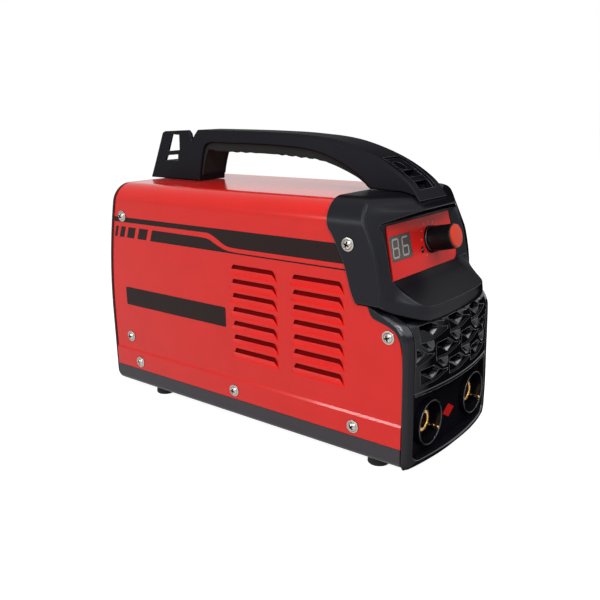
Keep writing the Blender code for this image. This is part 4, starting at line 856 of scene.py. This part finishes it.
def hood_recess():
    """The hollow for the control panel: a sloping sill, the panel and the underside of the brow."""
    sill = [(y, 115 - 0.568 * (14 - y)) for y in (-30, -12, -4, 4, 9.5, 12.5)]
    panel = [(panel_depth(z), z) for z in (116.6, 122, 130, 138, 145.5)]
    under = [(21.2, 149.2), (20.5, 150), (14, 153), (7, 156), (-30, 171.5)]
    radii = [10] * len(sill) + [8] * len(panel) + [3] * len(under)
    return loft(flank_loops(sill + panel + under, radii, lambda y: RECESS_HALF, 8))


def hood():
    right = steps_between(0, HOOD_EDGE, 0.0215) + [1.0]
    shares = [-f for f in reversed(right[1:])] + right
    near = [[hood_front(row, share) for share in shares] for row in spline(HOOD_ROWS, 4)]
    far = [[(x, max(between(HOOD_REAR, z), y + 2), z) for x, y, z in row] for row in near]
    piece("hood", slab(near, far), BLACK, "black_plastic", nodes=("control_hood",), cuts=[hood_recess()],
          angle=32)


LABEL_HALF = 41.2
LABEL_TOP_HALF = 38.7
LABEL_HEIGHT = 32.5
LABEL_RADIUS = 6
DISPLAY_LOW = (-38.5, 10.6)
DISPLAY_HIGH = (-13.8, 25.8)
LAMP_PLACE = (-1.8, 12.5)


def label():
    outline = [(-LABEL_HALF, 0)] + arc((LABEL_HALF - LABEL_RADIUS, LABEL_RADIUS), LABEL_RADIUS, 3, 4)
    outline += [(LABEL_TOP_HALF, LABEL_HEIGHT), (-LABEL_TOP_HALF, LABEL_HEIGHT)]
    window = prism(rounded(DISPLAY_LOW, DISPLAY_HIGH, 0.5, 3), -1, 3, "Z")
    rod(2.2, (*LAMP_PLACE, -1), 4, bm=window)
    rod(3.6, (*DIAL_PLACE, -1), 4, bm=window)
    piece("label", prism(outline, -0.2, 0.8, "Z"), LABEL, "label_red", frame=PANEL_FRAME,
          nodes=("control_label",), cuts=[window])
    low = [value + 0.1 for value in DISPLAY_LOW]
    high = [value - 0.1 for value in DISPLAY_HIGH]
    piece("display", prism(rounded(low, high, 0.5, 3), -4, 0.5, "Z"), DISPLAY, "display",
          frame=PANEL_FRAME, nodes=("display_module",))
    lens = [(0, 1.6)] + arc((0, 0.4), 1.2, 1, 0, 4)[1:]
    lens += [(2, 0.4), (2, -4), (0, -4)]
    piece("power_lamp", turned(lens, 24, "Z", (*LAMP_PLACE, 0)), GLOSS, "gloss_black", frame=PANEL_FRAME,
          nodes=("power_led",))


# Bars of a digit one wide and one tall, and the bars that each digit shows
BARS = {"a": (0, 1, 1, 1), "b": (1, 0.5, 1, 1), "c": (1, 0, 1, 0.5), "d": (0, 0, 1, 0), "e": (0, 0, 0, 0.5),
        "f": (0, 0.5, 0, 1), "g": (0, 0.5, 1, 0.5)}
SEGMENTS = {"8": "abcdefg", "6": "acdefg"}
DIGIT_PLACES = {"8": -35.8, "6": -24.6}
DIGIT_FOOT = 12.8
DIGIT_WIDTH = 6.4
DIGIT_HEIGHT = 10.8
DIGIT_STROKE = 1.1
DIGIT_LEAN = 0.09


def digits():
    """Two unlit digits made of bars behind the display's window."""
    bm = bmesh.new()
    for shown, left in DIGIT_PLACES.items():
        for key in SEGMENTS[shown]:
            x0, y0, x1, y1 = BARS[key]
            start = Vector((x0 * DIGIT_WIDTH, y0 * DIGIT_HEIGHT))
            end = Vector((x1 * DIGIT_WIDTH, y1 * DIGIT_HEIGHT))
            along = (end - start).normalized()
            side = Vector((-along.y, along.x)) * DIGIT_STROKE / 2
            tip = along * DIGIT_STROKE / 2
            start += along * DIGIT_STROKE * 0.55
            end -= along * DIGIT_STROKE * 0.55
            outline = [start - tip, start - side, end - side, end + tip, end + side, start + side]
            prism([(left + p.x + DIGIT_LEAN * p.y, DIGIT_FOOT + p.y) for p in outline], 0.4, 0.56, "Z", bm)
    piece("digits", bm, DIGIT, frame=PANEL_FRAME)


SCALE_MARKS = 11
SCALE_START = 230
SCALE_STEP = 28


def dial_scale():
    bm = bmesh.new()
    for i in range(SCALE_MARKS):
        turn = shift(*DIAL_PLACE) @ spin(SCALE_START - SCALE_STEP * i, "Z")
        block(turn @ shift(11.7, 0, 0.81), (1.6, 0.5, 0.06), bm)
    piece("dial_scale", bm, SCALE, frame=PANEL_FRAME)


def flute(a, h):
    """Fine ribs round the dial's grip."""
    return 0.16 * max(0, cos(24 * a)) if 5 < h < 17 else 0


def dial():
    washer = [(3.6, 0.9), (3.6, 2.6), (6.8, 2.6)] + arc((8, 1.8), 0.8, 1, 0, 4)
    washer += [(8.8, 0.9)]
    piece("dial_washer", turned(washer, 64, ring=True), GLOSS, "plated_steel", frame=DIAL_FRAME)
    knob = [(0, 3), (8, 3), (8.4, 3.3), (8.4, 4.4), (8.1, 4.9), (8, 10),
            (7.8, 17.6)] + arc((7.3, 17.9), 0.4, 0, 1, 3) + [(0, 18.3)]
    piece("knob", turned(knob, 192, wave=flute), KNOB, "black_plastic", "dial", DIAL_FRAME,
          ("knob", "pot_shaft"))
    cap = [(0, 19.8), (4, 19.72)] + arc((6.6, 19), 0.6, 1, 0, 4) + [(7.2, 18.2), (0, 18.2)]
    piece("knob_cap", turned(cap, 64), CAP, "cap_orange", "dial", DIAL_FRAME)


HANDLE_HALF = 14
HANDLE_FRONT = 11.3
HANDLE_FLARE = 3
FLARE_START = 75
FLARE_RUN = 64
HANDLE_TOP = [(201.1, 201), (167.5, 200.6), (135, 199.9), (104, 198.5), (71.8, 194.8), (41.9, 185),
              (20.5, 172.2), (HANDLE_FRONT, 160.8)]
HANDLE_UNDER = [(47.5, 165.8), (60.3, 175.6), (87.7, 186.8), (121.5, 190.6), (175, 191.6), (188.2, 191.4),
                (194.9, 186.4), (200.9, 163.6)]
HANDLE_TOE = [(11.8, 159.7), (15.1, 163.8), (23.6, 165.8)]
HANDLE_HOOK = [(254.5, 164.2), (247.9, 179.1), (239, 198.2), (238, 199.2), (235.9, 199.9), (210.5, 200.8),
               (209.2, 200.4), (207.7, 198.6), (206.7, 193.2), (203.6, 197.5)]
TOP_RADIUS = [(HANDLE_FRONT, 0.2), (20.5, 1.4), (45, 2.6), (110, 2.6), (160, 2.2), (210, 2.4)]
HOOK_WINDOWS = [[(220.3, 186), (219.8, 197.2), (228, 197.6), (233.5, 185)],
                [(222.8, 177.9), (222.2, 182.6), (235, 181.7), (237.2, 177.9)]]
HOOK_BESIDE = [(-11.8, 208.4), (-12.2, 270), (30, 270), (30, 206.7), (-11.2, 206.7)]
# Hollows in the toe of the handle: start, end, depth and half width
TOE_HOLLOWS = [(14.5, 43, 1.8, 10.4), (23.1, 31.5, 6.5, 9.6), (14.8, 22.2, 6.5, 10)]


def handle_width(y):
    return HANDLE_HALF + HANDLE_FLARE * max(0, min(1.0, (FLARE_START - y) / FLARE_RUN))


def flank_loops(outline, radii, width, steps):
    """Side views from one flank to the other, with edges rounded to a radius at each point."""
    into = [left_of(*ends) for ends in zip(outline[-1:] + outline[:-1], outline[1:] + outline[:1])]
    flank = []
    for k in range(steps + 1):
        turn = pi / 2 * k / steps
        loop = []
        for (y, z), way, radius in zip(outline, into, radii):
            point = Vector((y, z)) + way * radius * (1 - sin(turn))
            loop.append((width(point.x) - radius * (1 - cos(turn)), *point))
        flank.append(loop)
    return [[(-x, y, z) for x, y, z in loop] for loop in flank] + flank[::-1]


def sunk(start, end, depth):
    """A stretch of the handle's top in the side view, sunk by a depth and open above."""
    curve = [(y, z) for y, z in spline(HANDLE_TOP, 24) if start <= y <= end]
    floor = moved_left(curve, lambda point: depth)
    away = left_of(curve[-1], curve[0]) * 12
    return floor + [tuple(Vector(floor[-1]) + away), tuple(Vector(floor[0]) + away)]


def handle():
    top, under = spline(HANDLE_TOP, 8), spline(HANDLE_UNDER, 8)
    radii = [1] * len(HANDLE_HOOK) + [between(TOP_RADIUS, y) for y, _ in top]
    radii += [0.2] * len(HANDLE_TOE) + [1.2] * len(under)
    bm = loft(flank_loops(HANDLE_HOOK + top + HANDLE_TOE + under, radii, handle_width, 6))
    for y in (HANDLE_FRONT, FLARE_START):
        bmesh.ops.bisect_plane(bm, geom=[*bm.verts, *bm.edges, *bm.faces], plane_co=(0, y * MM, 0),
                               plane_no=(0, 1, 0))
    cuts = [hull([(x, y, z) for z in (177.1, 210) for x, y in HOOK_BESIDE]),
            prisms(HOOK_WINDOWS, -30, 30, "X")]
    cuts += [prism(sunk(start, end, depth), -half, half, "X") for start, end, depth, half in TOE_HOLLOWS]
    cuts.append(pole(4.6, 14, shift(0, 34.5, 181.4) @ spin(27, "X"), 40))
    piece("handle", bm, HANDLE, "black_plastic", nodes=("handle_shell",), cuts=cuts, angle=32)


GRIP_HALF = 11.8
GRIP_LOW = 166.8
RIB_PITCH = 8.5


def grip_depth(point):
    """How far the ribbed insert hangs below the handle, as a distance to the left of its underside."""
    y = point[0]
    deep = 0.8 + 4 * max(0, min(1.0, (y - 52) / 50, (198.5 - y) / 14))
    rib = 0.4 * max(0, min(1.0, (y - 75) / 20, (182 - y) / 20))
    return -(deep + rib * sin(2 * pi * y / RIB_PITCH))


def handle_grip():
    under = [point for point in spline(HANDLE_UNDER, 40) if point[1] > GRIP_LOW]
    inside = moved_left(under, lambda point: 0.4)
    outline = inside[::8] + [inside[-1]] + moved_left(under, grip_depth)[::3][::-1]
    bm = loft(flank_loops(outline, [1.2] * len(outline), lambda y: GRIP_HALF, 4))
    piece("handle_grip", bm, RUBBER, "rubber", angle=50)


REAR_PLATE = 240
REAR_FACE = 243
REAR_HALF = 53.2
REAR_HOLLOW_HALF = 50.7
FAN_Z = 92
FAN_HALF = 40
FAN_HALF_DEPTH = 12.5
FAN_BORE = 37.5
FAN_HOLES = 36
FAN_FRAME = shift(0, REAR_PLATE - FAN_HALF_DEPTH - GAP, FAN_Z)
FAN_BLADES = 7
SWITCH_X = -30
GLAND_X = 30
REAR_ROW_Z = 32
ROCKER_FRAME = shift(SWITCH_X, REAR_FACE, REAR_ROW_Z) @ spin(-8, "X")


def rear_panel():
    """The plate set into the rear of the case, in a frame whose flange covers the cover's rear edge."""
    top = COVER_TOP - SHEET - GAP
    centre = PAN_BOTTOM + PAN_RADIUS
    outline = arch(STRIP_HALF, COVER_TOP, COVER_RADIUS, 20)[1:-1]
    outline += arc((STRIP_HALF - PAN_RADIUS, centre), PAN_RADIUS, 4, 3)
    outline += arc((PAN_RADIUS - STRIP_HALF, centre), PAN_RADIUS, 3, 2)
    flange = solid("flange", prism(outline, 235, 280, "Y"))
    behind = rear_line(GAP + FLANGE)
    carve(flange, solid("band", side_cut(rear_line(GAP) + behind[::-1])), "INTERSECT")
    plate = solid("plate", prism(arch(REAR_HALF, top, 10.5, WINDOW_LOW), REAR_PLATE, 264, "Y"))
    carve(plate, solid("behind", side_cut(behind + [(300, CUT_TOP), (300, 0)])))
    carve(plate, flange, "UNION")
    bm = bmesh.new()
    bm.from_mesh(plate.data)
    bmesh.ops.transform(bm, matrix=TO_FRAME.inverted(), verts=bm.verts)
    bpy.data.objects.remove(plate)
    hollow = prism(arch(REAR_HOLLOW_HALF, top - 2.5, 8, 11), REAR_FACE, 290, "Y")
    holes = rod(38, (0, 230, FAN_Z), 30, "Y", 96)
    block(shift(SWITCH_X, 245, REAR_ROW_Z), (28.6, 30, 22.2), holes)
    rod(8.3, (GLAND_X, 230, REAR_ROW_Z), 30, "Y", 48, holes)
    piece("rear_panel", bm, BLACK, "black_plastic", cuts=[hollow, holes, rear_corner()])


def fan_frame():
    frame = prism(centred(FAN_HALF, FAN_HALF, 4), -FAN_HALF_DEPTH, FAN_HALF_DEPTH, "Y")
    tunnel = rod(FAN_BORE, (0, -20, 0), 40, "Y", 96)
    for x in (-FAN_HOLES, FAN_HOLES):
        for z in (-FAN_HOLES, FAN_HOLES):
            rod(2.2, (x, -20, z), 40, "Y", 24, tunnel)
    mount = turned([(0, -12.5), (14.2, -12.5), (15, -11.7), (15, -9.5), (0, -9.5)], 48, "Y")
    arms = [block(shift(0, -11) @ spin(turn, "Y"), (78, 2.2, 3.6)) for turn in (45, 135)]
    piece("fan_frame", frame, GLOSS, "gloss_black", frame=FAN_FRAME, cuts=[tunnel], adds=[mount, *arms])


def fan_blade(turn):
    """A swept blade that is steeper and more cambered at its root."""
    near, far = [], []
    for k in range(9):
        t = k / 8
        radius = 15 + 20.8 * t
        pitch = radians(58 - 16 * t)
        sweep = turn + 0.35 * t * t
        row = []
        for s in steps_between(-1, 1, 0.25):
            chord = 7.4 * s
            camber = 1.1 * (1 - s * s)
            a = sweep + (chord * cos(pitch) + camber * sin(pitch)) / radius
            y = 0.1 + chord * sin(pitch) - camber * cos(pitch)
            row.append((radius * cos(a), y, radius * sin(a)))
        near.append(row)
        far.append([(x, y + 1.2, z) for x, y, z in row])
    return slab(near, far)


def fan_rotor():
    hub = [(0, -8.9), (16, -8.9), (16, 8)] + arc((14.8, 8), 1.1, 0, 1, 4) + [(0, 9.1)]
    blades = [fan_blade(2 * pi * i / FAN_BLADES) for i in range(FAN_BLADES)]
    piece("fan_rotor", turned(hub, 64, "Y"), GLOSS, "gloss_black", "fan", FAN_FRAME, adds=blades)


WIRE = 0.9
GUARD_RINGS = (16.5, 24, 31.5, 38.8)


def fan_guard():
    centre = (0, REAR_FACE + WIRE + GAP, FAN_Z)
    plate = turned([(0, -0.7), (8.4, -0.7), (9, -0.2), (8.4, 0.8), (0, 1.2)], 48, "Y", centre)
    angles = [2 * pi * i / 10 for i in range(10)]
    wires = []
    for radius in GUARD_RINGS:
        section = [(radius + WIRE * cos(a), WIRE * sin(a)) for a in angles]
        wires.append(turned(section, 96, "Y", centre, ring=True))
    wires += [pole(WIRE, 86, shift(*centre) @ spin(turn, "Y"), 12) for turn in (45, 135)]
    piece("fan_guard", plate, STEEL, "plated_steel", adds=wires)


# Outward steps of the switch's collar: depth, half width and half height
COLLAR_STEPS = [(0, 15.8, 12.6), (1.6, 15.8, 12.6), (2.2, 15.5, 12.3), (2.4, 15, 11.8)]


def switch():
    body = prism(centred(14, 10.8, 0.8), REAR_FACE - 22, REAR_FACE + 0.5, "Y")
    collar = loft([[(x, REAR_FACE + GAP + y, z) for x, z in centred(w, h, 1.5)] for y, w, h in COLLAR_STEPS])
    well = prism(centred(12.2, 9.4, 0.6), REAR_FACE - 11, REAR_FACE + 10, "Y")
    piece("power_switch", body, GLOSS, "gloss_black", frame=shift(SWITCH_X, 0, REAR_ROW_Z), joins=[collar],
          cuts=[well])
    outline = [(-5, -6), (-5, 6), (1, 8.8)]
    outline += spline([(4.2, 8.6), (3.4, 4.3), (3, 0), (3.4, -4.3), (4.2, -8.6)], 4)
    outline += [(1, -8.8)]
    piece("rocker", prism(outline, -11.6, 11.6, "X"), ROCKER, "rocker_red", "rocker", ROCKER_FRAME,
          ("power_rocker",), round_off=0.3)
    bar = block(shift(0, 3.7, 5), (0.7, 0.2, 3))
    ring = [(1.3, -0.1), (1.9, -0.1), (1.9, 0.1), (1.3, 0.1)]
    circle = turned(ring, 32, "Y", (0, 3.7, -5), ring=True)
    piece("switch_marks", bar, SCALE, body="rocker", frame=ROCKER_FRAME, adds=[circle])


GLAND_PROFILE = [(4.5, -12), (8, -12), (8, 0), (11.3, 0), (11.5, 0.3), (11.5, 4.6), (11.2, 5), (9.5, 5.6),
                 (9.5, 12.2), (9, 14), (7.4, 16.1), (6.2, 16.5), (5, 16.3), (4.5, 15.5)]
EARTH_PROFILE = [(0, 3.3), (1.4, 3.2), (2.6, 2.8), (3.4, 2), (3.8, 0.8), (4.2, 0.6), (4.2, 0), (2, 0),
                 (2, -10), (0, -10)]
EARTH_Z = 24


def gland_ribs(a, h):
    """Flats round the gland's body and ribs round its cap."""
    if 0.1 < h < 4.8:
        return 1.3 * abs(sin(3 * a)) ** 1.6
    return 0.5 * max(0, cos(18 * a)) if 5.5 < h < 14.5 else 0


def gland():
    face = REAR_FACE + GAP
    body = turned(GLAND_PROFILE, 144, "Y", (GLAND_X, face, REAR_ROW_Z), ring=True, wave=gland_ribs)
    piece("cable_gland", body, BLACK, "black_plastic")
    nut = rod(12.5, (GLAND_X, face - 7.8, REAR_ROW_Z), 4.2, "Y", 6)
    bore = rod(8.1, (GLAND_X, face - 20, REAR_ROW_Z), 30, "Y")
    piece("gland_nut", nut, BLACK, "black_plastic", cuts=[bore], round_off=0.4)
    piece("earth_screw", turned(EARTH_PROFILE, 36), STEEL, "plated_steel",
          frame=shift(0, face, EARTH_Z) @ spin(-90, "X"), cuts=cross_recess(0.9), angle=40)


def paint_cad():
    """Give every CAD node that stays in sight its slot's finish."""
    for part in FRAME["record"]["subparts"]:
        obj = FRAME["nodes"][part["node"]]
        obj.data.materials.clear()
        obj.data.materials.append(SLOT_PAINT[part["material_slot"]])


CAMERA_YAW = 51.54
CAMERA_PITCH = 15.09
CAMERA_ROLL = -1.07
CAMERA_PLACE = (-395.1, -196.8, 216.3)
CAMERA_LENS = 43.05


def camera():
    lens = bpy.data.cameras.new("camera")
    lens.lens = CAMERA_LENS
    lens.sensor_width = 36
    lens.clip_start = 0.01
    eye = bpy.data.objects.new("camera", lens)
    turn = spin(-CAMERA_YAW, "Z") @ spin(90 - CAMERA_PITCH, "X") @ spin(CAMERA_ROLL, "Z")
    eye.matrix_world = TO_FRAME @ shift(*CAMERA_PLACE) @ turn
    SCENE.collection.objects.link(eye)
    SCENE.camera = eye


# Each lamp's place, target, size and watts, and its roll in degrees
LAMPS = {"key": ((-0.78, -0.63, 1.03), (0, -0.08, 0.1), (0.14, 0.8), 8.4, 35),
         "above": ((0.15, -0.66, 1.2), (0, -0.05, 0.1), (0.35, 0.35), 3.5, 0),
         "front": ((-0.13, -0.98, 1.0), (0, -0.1, 0.1), (0.2, 0.2), 2.4, 0),
         "left": ((-1.12, -0.25, 0.6), (0, 0, 0.08), (0.6, 0.6), 3.0, 0),
         "rear_left": ((-1.09, 0.5, 0.33), (0, 0, 0.06), (0.26, 0.12), 2.6, 0),
         "edge": ((-0.7, -1.1, 0.665), (-0.05, -0.1, 0.13), (0.12, 0.3), 1.0, 0)}
SKY = 0.2
FLOOR = 0.5


def lamps():
    for name, (place, target, size, energy, roll) in LAMPS.items():
        light = bpy.data.lights.new(name, "AREA")
        light.shape = "RECTANGLE"
        light.size, light.size_y = size
        light.energy = energy
        obj = bpy.data.objects.new(name, light)
        aim = (Vector(target) - Vector(place)).to_track_quat("-Z", "Y")
        obj.matrix_world = Matrix.Translation(place) @ aim.to_matrix().to_4x4() @ spin(roll, "Z")
        SCENE.collection.objects.link(obj)


def background_rays(tree):
    """One for rays that see the background: from the camera, or by way of gloss or glass."""
    path = node(tree, "ShaderNodeLightPath").outputs
    return highest(tree, path["Is Camera Ray"], path["Is Glossy Ray"], path["Is Transmission Ray"])


def sky():
    world = bpy.data.worlds.new("studio")
    world.use_nodes = True
    SCENE.world = world
    tree = world.node_tree
    ground = tree.nodes["Background"]
    ground.inputs["Color"].default_value = (1, 1, 1, 1)
    tree.links.new(spread(tree, background_rays(tree), SKY, 1.0, 0.0, 1.0), ground.inputs["Strength"])


def floor():
    bm = bmesh.new()
    bmesh.ops.create_grid(bm, x_segments=8, y_segments=8, size=30)
    mesh = bpy.data.meshes.new("floor")
    bm.to_mesh(mesh)
    bm.free()
    obj = bpy.data.objects.new("floor", mesh)
    SCENE.collection.objects.link(obj)
    paint, tree, shader = new_paint("floor", **{"Base Color": (FLOOR, FLOOR, FLOOR, 1), "Roughness": 0.9,
                                                "Specular IOR Level": 0.0, "Emission Color": (1, 1, 1, 1)})
    tree.links.new(spread(tree, background_rays(tree), 0.0, 1 - FLOOR * SKY, 0.0, 1.0),
                   shader.inputs["Emission Strength"])
    mesh.materials.append(paint)


for build in (cover, shade_sheets_behind_louvres, stripes, pan, feet, screws, bezel, grille, socket_plate, sockets, hood,
              label, digits, dial_scale, dial, handle, handle_grip, rear_panel, fan_frame, fan_rotor,
              fan_guard, switch, gland, paint_cad, camera, lamps, sky, floor):
    build()
